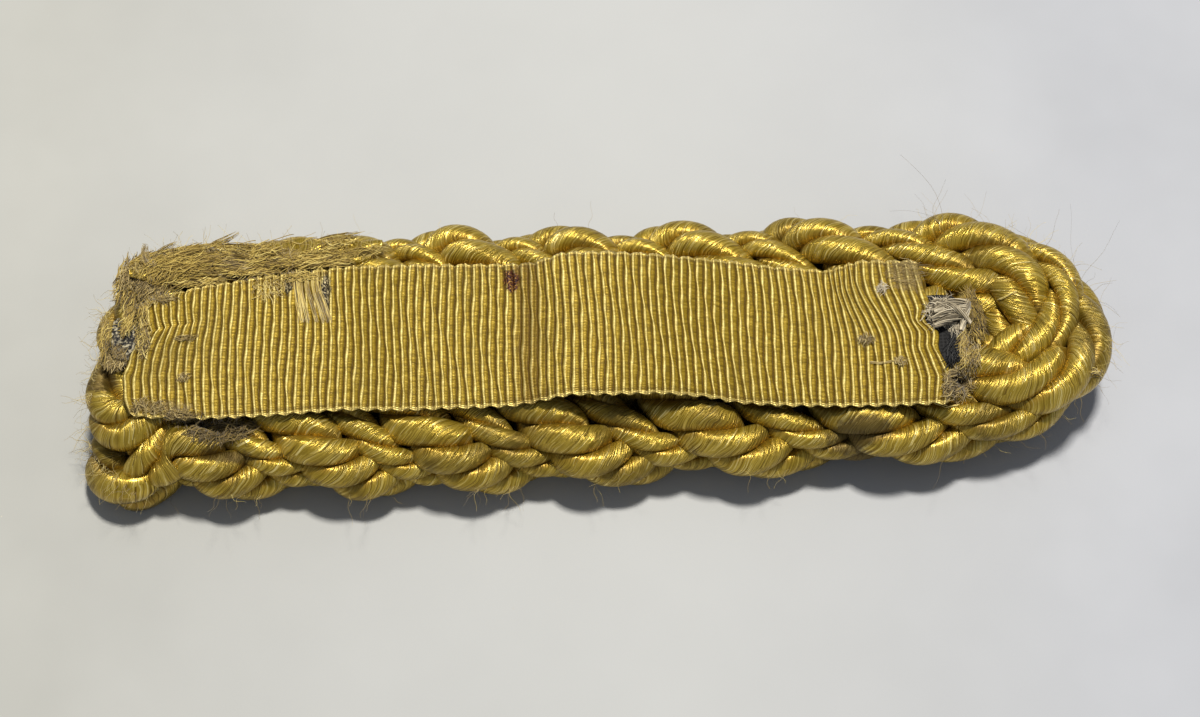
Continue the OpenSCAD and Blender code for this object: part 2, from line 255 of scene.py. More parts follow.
def cord_radius(u, slot, r):
    # Gathered at the ends and slimmer on the inside of the turn. The thin cords are fuller on the turn,
    # and thin cord a also at its start.
    first, last = CORD_ENDS[slot]
    side = np.cos(2 * math.pi * phase(u, slot))
    w = turn_share(along(u))
    gather = np.sqrt(clamp01(np.minimum(u - first, last - u) / 0.3))
    q = r * (1 - 0.1 * w * np.maximum(0, side)) * (0.62 + 0.38 * gather)
    if slot == 1:
        q = q * (1 + 0.5 * smooth(clamp01((0.3 - u) / 0.5)))
    if slot % 2:
        q = q * (1 + 0.15 * w)
    return q


# Camera, at the angle of the photo
ELEVATION, AZIMUTH, DISTANCE = math.radians(62), math.radians(-2.2), 360.0
TARGET = np.array([68.5, -0.5, 6.0])
PHOTO_WIDTH, PHOTO_HEIGHT = 1200, 717
PIXELS_PER_MM = 7.5
BACK = np.array([math.cos(ELEVATION) * math.sin(AZIMUTH), -math.cos(ELEVATION) * math.cos(AZIMUTH),
                 math.sin(ELEVATION)])
RIGHT = np.array([math.cos(AZIMUTH), math.sin(AZIMUTH), 0.0])
UPWARD = np.cross(BACK, RIGHT)
EYE = TARGET + DISTANCE * BACK


def ray_to(px, py):
    # Direction from the eye to readings in the photo, in pixels from its upper left corner
    across = (np.asarray(px, float)[..., None] - PHOTO_WIDTH / 2) / PIXELS_PER_MM
    upward = (PHOTO_HEIGHT / 2 - np.asarray(py, float)[..., None]) / PIXELS_PER_MM
    return unit(-BACK * DISTANCE + RIGHT * across + UPWARD * upward)


def seen_at(px, py, z):
    # Places at height z that the photo shows at readings
    ray = ray_to(px, py)
    return EYE + ray * ((z - EYE[2]) / ray[..., 2:])


# Mesh building
FIBRE_SIDES = 3


def make_object(name, points, faces, uv=None, material=None):
    mesh = bpy.data.meshes.new(name)
    points = (points - MIDDLE) * MM
    mesh.vertices.add(len(points))
    mesh.vertices.foreach_set("co", points.astype(np.float32).ravel())
    loops = np.concatenate([f.ravel() for f in faces])
    sizes = np.concatenate([np.full(len(f), f.shape[1]) for f in faces])
    mesh.loops.add(len(loops))
    mesh.loops.foreach_set("vertex_index", loops.astype(np.int32))
    mesh.polygons.add(len(sizes))
    mesh.polygons.foreach_set("loop_start", (np.cumsum(sizes) - sizes).astype(np.int32))
    mesh.polygons.foreach_set("use_smooth", np.ones(len(sizes), bool))
    if uv is not None:
        layer = mesh.uv_layers.new(name="threads")
        corners = np.concatenate([v.reshape(-1, 2) for v in uv])
        layer.data.foreach_set("uv", corners.astype(np.float32).ravel())
    mesh.update(calc_edges=True)
    mesh.validate()
    obj = bpy.data.objects.new(name, mesh)
    bpy.context.scene.collection.objects.link(obj)
    if material is not None:
        mesh.materials.append(material)
    return obj


def tube_set(rings, lengths, tone=None):
    # rings is tubes x rings x sides x 3. uv is the length in mm and the share of the way round,
    # or the tone of the tube where one is given.
    count, rows, sides, _ = rings.shape
    base = np.arange(count)[:, None, None] * rows * sides
    i = np.arange(rows - 1)[None, :, None]
    j = np.arange(sides)[None, None, :]
    k = (j + 1) % sides
    quads = np.stack([base + i * sides + j, base + (i + 1) * sides + j,
                      base + (i + 1) * sides + k, base + i * sides + k], -1).reshape(-1, 4)
    l0 = np.broadcast_to(lengths[:, :-1, None], (count, rows - 1, sides))
    l1 = np.broadcast_to(lengths[:, 1:, None], (count, rows - 1, sides))
    if tone is None:
        v0 = np.broadcast_to(j / sides, (count, rows - 1, sides))
        v1 = np.broadcast_to((j + 1) / sides, (count, rows - 1, sides))
    else:
        v0 = v1 = np.broadcast_to(tone[:, None, None], (count, rows - 1, sides))
    uv = np.stack([np.stack([l0, v0], -1), np.stack([l1, v0], -1),
                   np.stack([l1, v1], -1), np.stack([l0, v1], -1)], -2).reshape(-1, 4, 2)
    first = (base[:, 0] + np.arange(sides)[None, ::-1]).reshape(count, sides)
    last = (base[:, 0] + (rows - 1) * sides + np.arange(sides)[None, :]).reshape(count, sides)
    caps = np.concatenate([first, last])
    cap_uv = np.zeros((2 * count, sides, 2))
    cap_uv[:count, :, 0] = lengths[:, :1]
    cap_uv[count:, :, 0] = lengths[:, -1:]
    if tone is not None:
        cap_uv[:, :, 1] = np.concatenate([tone, tone])[:, None]
    return rings.reshape(-1, 3), [quads, caps], [uv, cap_uv]


def path_lengths(paths):
    # Length along each path at each of its points
    step = np.linalg.norm(np.diff(paths, axis=1), axis=-1)
    return np.concatenate([np.zeros((len(paths), 1)), np.cumsum(step, 1)], 1)


def grid_faces(rows, columns):
    # Faces of a grid with this many rows and columns of them
    i, j = np.meshgrid(np.arange(rows), np.arange(columns), indexing="ij")
    step = columns + 1
    corner = i * step + j
    return np.stack([corner, corner + step, corner + step + 1, corner + 1], -1).reshape(-1, 4)


def fibre_rings(paths, radius):
    # paths is fibres x points x 3, radius is fibres x points
    t = unit(np.gradient(paths, axis=1) + 1e-9)
    up = np.where(np.abs(t[..., 2:3]) > 0.9, np.array([1.0, 0, 0]), np.array([0, 0, 1.0]))
    n = unit(np.cross(t, up))
    b = np.cross(t, n)
    a = 2 * math.pi * np.arange(FIBRE_SIDES) / FIBRE_SIDES
    ring = np.cos(a)[:, None] * n[..., None, :] + np.sin(a)[:, None] * b[..., None, :]
    return paths[:, :, None, :] + radius[..., None, None] * ring, path_lengths(paths)


# Materials. Colours are sRGB hex values, and pattern sizes are in millimetres.
def linear(code):
    channels = [int(code[i:i + 2], 16) / 255 for i in (0, 2, 4)]
    return (*(c / 12.92 if c <= 0.04045 else ((c + 0.055) / 1.055) ** 2.4 for c in channels), 1.0)


def put(socket, value):
    # Links an output to the socket, or sets the socket's own value
    if hasattr(value, "links"):
        socket.id_data.links.new(value, socket)
    else:
        socket.default_value = value


def add_node(tree, kind, inputs=(), stops=(), out=0, **settings):
    # Adds one node with its settings, inputs and ramp stops, and gives one of its outputs.
    # The inputs are a list from the first one on, or go by their names or numbers.
    new = tree.nodes.new("ShaderNode" + kind)
    for name, value in settings.items():
        setattr(new, name, value)
    for key, value in inputs.items() if isinstance(inputs, dict) else enumerate(inputs):
        put(new.inputs[key], value)
    if stops:
        ramp = new.color_ramp.elements
        while len(ramp) < len(stops):
            ramp.new(0.5)
        for stop, (place, colour) in zip(ramp, stops):
            stop.position = place
            stop.color = linear(colour)
    return new.outputs[out]


def new_material(name):
    # A material, and the function that adds nodes to it
    material = bpy.data.materials.new(name)
    material.use_nodes = True
    return material, partial(add_node, material.node_tree)


def finish(material, **values):
    # Sets or links the inputs of the material's own shader, with _ for a space in their names
    shader = material.node_tree.nodes["Principled BSDF"]
    for name, value in values.items():
        put(shader.inputs[name.replace("_", " ")], value)
    return material


def place_mm(node):
    # Place on the object in millimetres
    return node("VectorMath", {0: node("TexCoord", out="Object"), 3: 1000.0}, operation="SCALE")


def layered(node, colour, layers):
    # Lays colours over the first one, each by its own share
    for share, over in layers:
        over = linear(over) if isinstance(over, str) else over
        colour = node("Mix", {0: share, 6: colour, 7: over}, out=2, data_type="RGBA")
    return colour


# Worn, torn and stained places: reading in the photo, height there, half the width and half the height
# of the place, all in mm but the reading, and how ragged its edge is
PATCHES = {
    "shoulder_scuff": ((104, 384), 9.5, 2.6, 2.8, 0.5),
    "lower_scuff": ((226, 462), 9.0, 3.5, 1.0, 0.5),
    "turn_scuff": ((860, 430), 12.0, 5.0, 1.6, 0.5),
    "stain": ((511, 278), 14.6, 1.2, 2.0, 0.7),
    "short_tear": ((289, 285), 14.3, 0.75, 1.7, 0.7),
    "long_tear": ((326, 292), 14.3, 0.7, 3.2, 0.6),
    "grey_end": ((908, 272), 16.0, 2.8, 2.6, 1.0),
    "left_end": ((150, 292), 14.0, 2.2, 1.3, 1.0),
    "worn_corner": ((160, 408), 14.0, 4.0, 0.9, 1.1),
}


def patch(node, mm, name):
    # Share from 0 to 1 of one ragged round place
    reading, z, wide, high, ragged = PATCHES[name]
    middle = (seen_at(*reading, z) - MIDDLE).tolist()
    part = node("SeparateXYZ", [mm]).node.outputs
    squares = []
    for axis, half in ((0, wide), (1, high)):
        off = node("Math", [part[axis], middle[axis]], operation="SUBTRACT")
        off = node("Math", [off, half], operation="DIVIDE")
        squares.append(node("Math", [off, off], operation="MULTIPLY"))
    far = node("Math", squares, operation="ADD")
    far = node("Math", [far], operation="SQRT")
    torn = node("TexNoise", {"Vector": mm, "Scale": 1.3, "Detail": 4.0, "Roughness": 0.65})
    torn = node("Math", [torn, 0.5], operation="SUBTRACT")
    torn = node("Math", [torn, 2.5 * ragged], operation="MULTIPLY")
    far = node("Math", [far, torn], operation="ADD")
    return node("MapRange", [far, 1.1, 0.7])


def patches(node, mm, first, *others):
    share = patch(node, mm, first)
    for name in others:
        share = node("Math", [share, patch(node, mm, name)], operation="MAXIMUM")
    return share


STRAND_MM = 0.24
HAIR_MM = 0.12


def wound_silk():
    # Gold silk wound tightly round each ply: a satin sheen across the threads, painted shade and a painted
    # warm glow of light thrown between the plies in their creases, and dull soiled places. Real threads are
    # about 0.1 mm, so the finer noise is one thread, and strands of 0.24 mm are there to show at this size.
    # uv is the length along the ply in mm and the share of the way round it.
    material, node = new_material("wound_gold_silk")
    length, turn = node("SeparateXYZ", [node("UVMap", uv_map="threads")]).node.outputs[:2]
    mm = place_mm(node)
    drift = node("TexNoise", {"Vector": mm, "Scale": 0.3, "Detail": 1.0})
    drift = node("Math", [drift, 1.5], operation="MULTIPLY")
    slant = node("Math", [turn, 2 * math.pi], operation="MULTIPLY")
    slant = node("Math", [slant], operation="SINE")
    slant = node("Math", [slant, 0.5], operation="MULTIPLY")
    run = node("Math", [length, drift], operation="ADD")
    run = node("Math", [run, slant], operation="ADD")
    tones = []
    for pitch, round_scale, seed in ((STRAND_MM, 1.6, 0.0), (HAIR_MM, 2.5, 7.0)):
        x = node("Math", [run, pitch], operation="DIVIDE")
        y = node("Math", [turn, round_scale], operation="MULTIPLY")
        place = node("CombineXYZ", [x, y, seed])
        tone = node("TexNoise", {"Vector": place, "Scale": 1.0, "Detail": 1.0})
        tones.append(node("Math", [tone, 0.5], operation="MULTIPLY"))
    threads = node("Math", tones, operation="ADD")
    silk = node("ValToRGB", [threads], [(0.32, "664e0b"), (0.44, "977c1c"), (0.56, "bca03c"),
                                           (0.68, "ead68c")])
    # The crease is where a ply turns in to the middle of the cord, at a share of 0 and 1. Shade is painted
    # dark there, and a warm glow of light thrown between the plies is painted beside it.
    crown = node("Math", [turn, 0.5], operation="SUBTRACT")
    crown = node("Math", [crown], operation="ABSOLUTE")
    painted_crease_glow = node("MapRange", [crown, 0.32, 0.24, 0.0, 0.35])
    painted_crease_shade = node("MapRange", [crown, 0.22, 0.12, 0.0, 0.8])
    soil = node("TexNoise", {"Vector": mm, "Scale": 0.13, "Detail": 4.0, "Roughness": 0.65})
    soiled = node("MapRange", [soil, 0.49, 0.68, 0.0, 0.7])
    worn = patches(node, mm, "shoulder_scuff", "lower_scuff", "turn_scuff")
    scuff = node("Math", [worn, 0.75], operation="MULTIPLY")
    # The crease glow and crease shade are painted light; the soil and scuffs are real dirt and wear
    colour = layered(node, silk, [
        (painted_crease_glow, "8c6214"), (painted_crease_shade, "3c2603"), (soiled, "5a4816"), (scuff, "4a3a1c")])
    dull = node("MapRange", [soil, 0.5, 0.75])
    dull = node("Math", [worn, dull], operation="MAXIMUM")
    rough = node("MapRange", [dull, 0.0, 1.0, 0.3, 0.5])
    uneven = node("TexNoise", {"Vector": mm, "Scale": 0.9})
    normal = node("Bump", {"Height": uneven, "Distance": 0.00022, "Strength": 0.25})
    normal = node("Bump", {"Height": threads, "Distance": 0.0003, "Strength": 1.0, "Normal": normal})
    tangent = node("Tangent", direction_type="UV_MAP", uv_map="threads")
    return finish(material, Base_Color=colour, Metallic=0.68, Roughness=rough, Normal=normal,
                  Tangent=tangent, Anisotropic=0.85, IOR=1.65)


WARP_MM = 0.23
# Share of each rib where its crown line peaks and where its highlight is painted
BRIGHT_LINE = 0.32
FOLD_SHADE_RIB = 49.0


def grosgrain():
    # Gold grosgrain, woven: each weft rib has a painted highlight as a bright line on its crown and painted
    # shade as a brown gap beside it, warp threads 0.23 mm apart cross the ribs, and the edges are looped. It
    # is stained, torn and faded in places, and painted shade darkens the fold where it rises into its arch.
    # uv is the ribs along the ribbon and the mm across it.
    material, node = new_material("gold_grosgrain")
    rib, across = node("SeparateXYZ", [node("UVMap", uv_map="threads")]).node.outputs[:2]
    mm = place_mm(node)
    whole = node("Math", [rib], operation="FLOOR")
    share = node("Math", [rib], operation="FRACT")
    # Warp threads, shaken a little and set over by half a thread in every other rib
    half = node("Math", [whole, 0.5], operation="MULTIPLY")
    shake = node("TexNoise", {"Vector": mm, "Scale": 1.5, "Detail": 1.0})
    shake = node("Math", [shake, 0.15], operation="MULTIPLY")
    shaken = node("Math", [across, shake], operation="ADD")
    count = node("Math", [shaken, WARP_MM], operation="DIVIDE")
    count = node("Math", [count, half], operation="ADD")
    warp = node("Math", [count, math.pi], operation="MULTIPLY")
    warp = node("Math", [warp], operation="SINE")
    warp = node("Math", [warp], operation="ABSOLUTE")
    along_ribs = node("Math", [rib, 0.9], operation="MULTIPLY")
    place = node("CombineXYZ", [along_ribs, count])
    each = node("TexNoise", {"Vector": place, "Scale": 0.6, "Roughness": 0.6})
    weft = node("ValToRGB", [each], [(0.25, "6a5304"), (0.5, "8f7411"), (0.75, "b49732")])
    # Painted shade in the gap beside each rib, and a painted highlight as the bright line on its crown
    painted_gap_shade = node("Math", [share, 0.5], operation="SUBTRACT")
    painted_gap_shade = node("Math", [painted_gap_shade], operation="ABSOLUTE")
    painted_gap_shade = node("MapRange", [painted_gap_shade, 0.34, 0.47, 0.0, 0.9])
    crown = node("Math", [share, BRIGHT_LINE], operation="SUBTRACT")
    crown = node("Math", [crown], operation="ABSOLUTE")
    crown = node("MapRange", [crown, 0.17, 0.05])
    place = node("CombineXYZ", [whole, across])
    broken = node("TexNoise", {"Vector": place, "Scale": 1.1, "Detail": 3.0, "Roughness": 0.7})
    broken = node("MapRange", [broken, 0.3, 0.6, 0.35])
    crown = node("Math", [crown, broken], operation="MULTIPLY")
    # Pale loop at each edge and the dark line inside it
    other = node("Math", [RIBBON_WIDTH, across], operation="SUBTRACT")
    edge = node("Math", [across, other], operation="MINIMUM")
    loop = node("MapRange", [edge, 0.42, 0.3, 0.0, 0.75])
    inside = node("MapRange", [edge, 0.4, 0.55])
    fading = node("MapRange", [edge, 1.0, 0.6, 0.0, 0.5])
    inside = node("Math", [inside, fading], operation="MULTIPLY")
    soil = node("TexNoise", {"Vector": mm, "Scale": 0.1, "Detail": 4.0, "Roughness": 0.65})
    soil = node("MapRange", [soil, 0.5, 0.8, 0.0, 0.45])
    # A band of painted shade at the fold, where the ribbon rises into its arch
    painted_fold_shade = node("Math", [rib, FOLD_SHADE_RIB], operation="SUBTRACT")
    painted_fold_shade = node("Math", [painted_fold_shade], operation="ABSOLUTE")
    painted_fold_shade = node("MapRange", [painted_fold_shade, 2.2, 0.6, 0.0, 0.45])
    spots = node("TexNoise", {"Vector": mm, "Scale": 3.6, "Roughness": 0.6})
    spots = node("ValToRGB", [spots], [(0.42, "1c0401"), (0.54, "4a1405"), (0.64, "94702a")])
    ends = node("TexNoise", {"Vector": mm, "Scale": 3.2, "Detail": 3.0, "Roughness": 0.7})
    ends = node("ValToRGB", [ends], [(0.42, "0d0a04"), (0.5, "3a2f14"), (0.58, "a3946c")])
    worn = patches(node, mm, "grey_end", "left_end", "worn_corner")
    worn = node("Math", [worn, 0.5], operation="MULTIPLY")
    # The gap, the crown line and the fold are painted shade and highlight, laid with the other colours
    colour = layered(node, weft, [
        (painted_gap_shade, "4a3400"), (crown, "f0da86"), (loop, "c4ad62"), (inside, "5a430a"), (soil, "66541c"),
        (painted_fold_shade, "5a3e00"), (patches(node, mm, "stain"), spots),
        (patches(node, mm, "short_tear", "long_tear"), ends), (worn, "8a7850")])
    relief = node("Math", [each, 0.8], operation="MULTIPLY")
    relief = node("Math", [warp, relief], operation="ADD")
    normal = node("Bump", {"Height": relief, "Distance": 0.00007, "Strength": 0.8})
    return finish(material, Base_Color=colour, Metallic=0.5, Roughness=0.38, Normal=normal)


def loose_fibre(name, stops, sheen=0.25):
    # Spun fibre: soft and dull, each one its own tone with paler and darker stretches.
    # The second uv value is the tone of the fibre.
    material, node = new_material(name)
    tone = node("SeparateXYZ", [node("UVMap", uv_map="threads")], out=1)
    streak = node("TexNoise", {"Vector": place_mm(node), "Scale": 0.6, "Detail": 3.0})
    streak = node("Math", [streak, 0.5], operation="SUBTRACT")
    streak = node("Math", [streak, 0.5], operation="MULTIPLY")
    share = node("Math", [tone, streak], operation="ADD")
    return finish(material, Base_Color=node("ValToRGB", [share], stops), Roughness=0.55,
                  Sheen_Weight=sheen, Sheen_Roughness=0.5)


BUCKRAM_WARP = 0.55
BUCKRAM_WEFT = 0.5


def buckram(name, pale):
    # Stiff black cloth, sized and woven openly: dull, with pale flecks where the size has worn off
    material, node = new_material(name)
    mm = place_mm(node)
    part = node("SeparateXYZ", [mm]).node.outputs
    waves = []
    for axis, pitch in ((0, BUCKRAM_WARP), (1, BUCKRAM_WEFT)):
        wave = node("Math", [part[axis], math.pi / pitch], operation="MULTIPLY")
        wave = node("Math", [wave], operation="SINE")
        waves.append(node("Math", [wave], operation="ABSOLUTE"))
    weave = node("Math", waves, operation="MAXIMUM")
    fleck = node("TexNoise", {"Vector": mm, "Scale": 2.2, "Detail": 4.0, "Roughness": 0.7})
    fleck = node("MapRange", [fleck, pale, pale + 0.12])
    colour = layered(node, linear("0a0704"), [(fleck, "a89d80")])
    normal = node("Bump", {"Height": weave, "Distance": 0.0002, "Strength": 0.8})
    return finish(material, Base_Color=colour, Roughness=0.8, Normal=normal)


def paper():
    # Pale matt paper, with a painted warm tint of light on the left and a painted pool of light palest in the
    # middle
    material, node = new_material("pale_paper")
    mm = place_mm(node)
    across = node("SeparateXYZ", [mm])
    mottle = node("TexNoise", {"Vector": mm, "Scale": 0.02, "Detail": 4.0, "Roughness": 0.6})
    left = node("ValToRGB", [mottle], [(0.3, "9b9a93"), (0.7, "a5a49d")])
    right = node("ValToRGB", [mottle], [(0.3, "98999c"), (0.7, "a2a3a6")])
    # Painted tint of the light: warmer on the left and cooler on the right; the paler middle is a painted
    # pool of light
    side = node("MapRange", [across, -80.0, 60.0])
    middle = node("Math", [across], operation="ABSOLUTE")
    middle = node("MapRange", [middle, 72.0, 10.0, 0.0, 0.55])
    colour = layered(node, left, [(side, right), (middle, "aaaaa6")])
    grain = node("TexNoise", {"Vector": mm, "Scale": 3.0, "Detail": 3.0})
    normal = node("Bump", {"Height": grain, "Distance": 0.00003, "Strength": 0.4})
    return finish(material, Base_Color=colour, Roughness=0.9, Normal=normal)


SILK = wound_silk()
RIBBED = grosgrain()
BUCKRAM = buckram("black_buckram", 0.68)
BUCKRAM_WORN = buckram("speckled_black_buckram", 0.5)
GOLD_FLUFF = loose_fibre("gold_fluff", [(0.1, "4c3a08"), (0.4, "856b1c"), (0.7, "ae9440"), (0.95, "dcc672")])
GREY_THREAD = loose_fibre("grey_thread", [(0.1, "594e39"), (0.5, "9b8d70"), (0.9, "d8cbae")])
CORE_THREAD = loose_fibre("worn_core_thread", [(0.1, "43340e"), (0.45, "78622c"), (0.75, "9a8346"),
                                               (0.95, "c2ad74")])
BLACK_THREAD = loose_fibre("black_thread", [(0.1, "050505"), (0.8, "100f0e"), (0.95, "3a3832")], 0.0)


# Cords: three plies in each, whose crowns follow the corners of the solids
RINGS_PER_CROSSING = 60
PLY_SIDES = 16
PLUMP_THICK = 1.32
PLUMP_THIN = 1.45
# Middle, half depth and half width of a ply's section, as shares of the cord's radius
PLY_MIDDLE = 0.49
PLY_DEEP = 0.51
PLY_WIDE = 0.58
# A ply is pressed flat on the inner side of its cord and spreads sideways
PRESSED_IN = 0.8
SPREAD_OUT = 1.1
# Below the first height a ply flattens towards the paper, and it stops short of it by the second
SETTLE_FROM = 0.35
SETTLE_GAP = 0.02
END_RINGS = 5.0
# The plies are laid slacker where a cord runs down the shoulder end, up to this crossing number
SLACK = {1: 0.5, 2: 0.6}
SLACK_END = 0.2


def own(piece, nodes):
    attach(piece, "root")
    if nodes:
        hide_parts(*nodes)
    return piece


def ply_radius(u, slot, radius):
    # Fuller on the inside of the turn, and the thick cords at the shoulder end
    thin = slot % 2 == 1
    r = cord_radius(u, slot, radius) * (PLUMP_THIN if thin else PLUMP_THICK)
    inner = turn_share(along(u)) * clamp01(np.cos(2 * math.pi * phase(u, slot)))
    r = r * (1 + (0.5 if thin else 0.25) * inner)
    return r if thin else r * (1 + 0.2 * smooth(clamp01((0.1 - u) / 0.3)))


def settled(rings):
    z = rings[..., 2]
    soft = SETTLE_FROM - SETTLE_GAP
    low = SETTLE_GAP + soft * np.exp((z - SETTLE_FROM) / soft)
    rings[..., 2] = np.where(z < SETTLE_FROM, low, z)
    return rings


def rounded_ends(rings, middle):
    rows = np.arange(rings.shape[1])
    end = np.minimum(1, np.minimum(rows, rows[::-1]) / END_RINGS)
    share = np.sqrt(np.clip(1 - (1 - end) ** 2, 0.02, 1))[None, :, None, None]
    return middle[:, :, None, :] + (rings - middle[:, :, None, :]) * share


def wound_cord(node, slot, wide, radius):
    first, last = CORD_ENDS[slot]
    rows = int((last - first) * RINGS_PER_CROSSING)
    u = np.linspace(first, last, rows + 1)
    p, n, b = cord_frame(u, slot, wide)
    r = ply_radius(u, slot, radius)
    laid_up = u
    if slot in SLACK:
        laid_up = np.where(u < SLACK_END, SLACK_END + SLACK[slot] * (u - SLACK_END), u)
    f = 2 * math.pi * np.arange(PLY_SIDES) / PLY_SIDES
    deep = (PLY_MIDDLE + PLY_DEEP * np.cos(f))[None, :, None]
    across = (PLY_WIDE * np.sin(f))[None, :, None]
    plies = []
    for ply in range(3):
        seed = 1.7 * slot + 2.9 * ply
        a = np.radians(PLY_START + 120 * ply) - 2 * math.pi * PLY_TURNS * laid_up
        out = np.cos(a)[:, None] * n + np.sin(a)[:, None] * b
        over = -np.sin(a)[:, None] * n + np.cos(a)[:, None] * b
        swell = 1 + 0.035 * np.sin(7.1 * u + seed) + 0.025 * np.sin(17.3 * u + 2 * seed)
        ring = (r * swell)[:, None, None] * (deep * out[:, None, :] + across * over[:, None, :])
        outward = np.sum(ring * n[:, None, :], -1, keepdims=True)
        sideways = np.sum(ring * b[:, None, :], -1, keepdims=True)
        outward = outward * np.where(outward > 0, 1.0, PRESSED_IN)
        plies.append(p[:, None, :] + outward * n[:, None, :] + SPREAD_OUT * sideways * b[:, None, :])
    rings = settled(np.stack(plies))
    middle = rings.mean(2)
    points, faces, uv = tube_set(rounded_ends(rings, middle), path_lengths(middle))
    return own(make_object(node + "_wound", points, faces, uv, SILK), [node])


CORDS = [
    wound_cord("thick_cord_a", 0, RING_HALF_WIDTH, THICK_RADIUS),
    wound_cord("thick_cord_b", 2, RING_HALF_WIDTH, THICK_RADIUS),
    wound_cord("thin_cord_a", 1, THIN_HALF_WIDTH, THIN_RADIUS),
    wound_cord("thin_cord_b", 3, THIN_HALF_WIDTH, THIN_RADIUS)]


# Ribbon
RIB_PITCH = 1.05
ROWS_PER_RIB = 10
# Columns of points across the ribbon, close together at its rounded edges
EDGE_COLUMNS = np.array([0, 0.006, 0.015, 0.03])
ACROSS = np.concatenate([EDGE_COLUMNS, np.linspace(0.05, 0.95, 30), 1 - EDGE_COLUMNS[::-1]])
THREAD_T = 0.55
NOTCH_DEPTH = 1.4
NOTCH_AT = 0.565
# Share of the way across, sideways shift of the ribs in mm, at the shoulder end and at the button end
SIDE_WAVE = np.array([
    (0.0, -0.2), (0.13, -1.1), (0.32, -1.4), (0.53, -0.4), (0.73, 1.7), (0.78, 1.2), (0.95, 0.5), (1.0, 1.0)])
END_WAVE = np.array([
    (0.0, 0.0), (0.18, 0.6), (0.38, -0.6), (0.48, -0.1), (0.66, -0.9), (0.78, -1.6), (1.0, -2.3)])


def step_up(x, first, length):
    # Smooth step from 0 to 1 over this length
    return smooth(clamp01((x - first) / length))


def ribbon_z(x):
    over = (look(x - 1, RIBBON, 3) + 2 * look(x, RIBBON, 3) + look(x + 1, RIBBON, 3)) / 4
    return RIBBON_BASE + lift(x) + over


def rib_shift(x, w):
    # Sideways waves of the ribs: strong where the ribbon is sewn down at the shoulder end, then a lean and
    # waves at the button end, and a slight unevenness all along
    shift = np.clip((20 - x) / 14, 0, 1) ** 1.2 * look(w, SIDE_WAVE)
    lean = -2.4 * step_up(w, 0.42, 0.45)
    shift = shift + step_up(x, 97, 9) * lean + step_up(x, 105, 8) * (look(w, END_WAVE) - lean)
    shift = shift + 0.09 * np.sin(17 * w + 2.3 * x) * np.sin(5 * w + 0.7 * x)
    shift = shift + 0.03 * np.sin(41 * w + 5.1 * x)
    return shift + 0.3 * np.sin(x * 0.19 + 3.1 * w) * np.sin(math.pi * w)


def ribbon_surface(x, w, ribs):
    y0, y1 = look(x, RIBBON, 1), look(x, RIBBON, 2)
    # The weft turns back at the edges in a loop round every other rib
    loop = 0.32 * np.abs(np.sin(math.pi * ribs / 2)) - 0.12
    y = y0 + (y1 - y0) * w - loop * np.exp(-w / 0.02) + loop * np.exp(-(1 - w) / 0.02)
    share = ribs - np.floor(ribs)
    crest = 0.72 * (1 - np.abs(2 * share - 1) ** 5) + 0.4 * np.exp(-((share - BRIGHT_LINE) / 0.13) ** 2)
    z = ribbon_z(x) + RIBBON_T - 0.3 + 0.28 * crest - 0.25 * (2 * w - 1) ** 4
    z = z - 0.22 * (np.exp(-w / 0.012) + np.exp(-(1 - w) / 0.012))
    # Seam and ripples where the shoulder end is sewn down
    seam = np.exp(-((w - 0.74) / 0.02) ** 2) * smooth(clamp01((17 - x) / 4))
    ripple = smooth(clamp01((20 - x) / 8)) * np.sin(31 * w + 1.3 * x)
    return x + rib_shift(x, w), y, z - 0.45 * seam + 0.12 * ripple


def ribbon_piece():
    first, last = RIBBON[0, 0], RIBBON[-1, 0]
    count = int(round((last - first) / RIB_PITCH))
    ribs, w = np.meshgrid(np.linspace(0, count, count * ROWS_PER_RIB + 1), ACROSS, indexing="ij")
    along_x = first + (last - first) * ribs / count
    x, y, z = ribbon_surface(along_x, w, ribs)
    notch = clamp01((along_x - last + 6) / 6) ** 2 * np.exp(-((w - NOTCH_AT) / 0.055) ** 2)
    points = np.stack([x - NOTCH_DEPTH * notch, y, z], -1).reshape(-1, 3)
    quads = grid_faces(count * ROWS_PER_RIB, len(ACROSS) - 1)
    uv = np.stack([ribs, w * RIBBON_WIDTH], -1).reshape(-1, 2)
    piece = make_object("grosgrain_ribbon", points, [quads], [uv[quads]], RIBBED)
    solid = piece.modifiers.new("thickness", "SOLIDIFY")
    solid.thickness = THREAD_T * MM
    solid.offset = -1
    bpy.context.view_layer.update()
    thick = piece.evaluated_get(bpy.context.evaluated_depsgraph_get())
    mesh = bpy.data.meshes.new_from_object(thick)
    piece.modifiers.clear()
    piece.data = mesh
    own(piece, ["ribbon_strap"])
    return piece


RIBBON_STRAP = ribbon_piece()


# Stiff cloth under the ends of the ribbon
CLOTH_CELLS = 40
CLOTH_Z = TOP_Z + LAY_GAP
# The ends of each cloth along the board, and its edges across it
SHOULDER_CLOTH = (4.6, 14, -2.2, 4.2)
BUTTON_CLOTH = (105, 115.6, -7.6, 2.6)


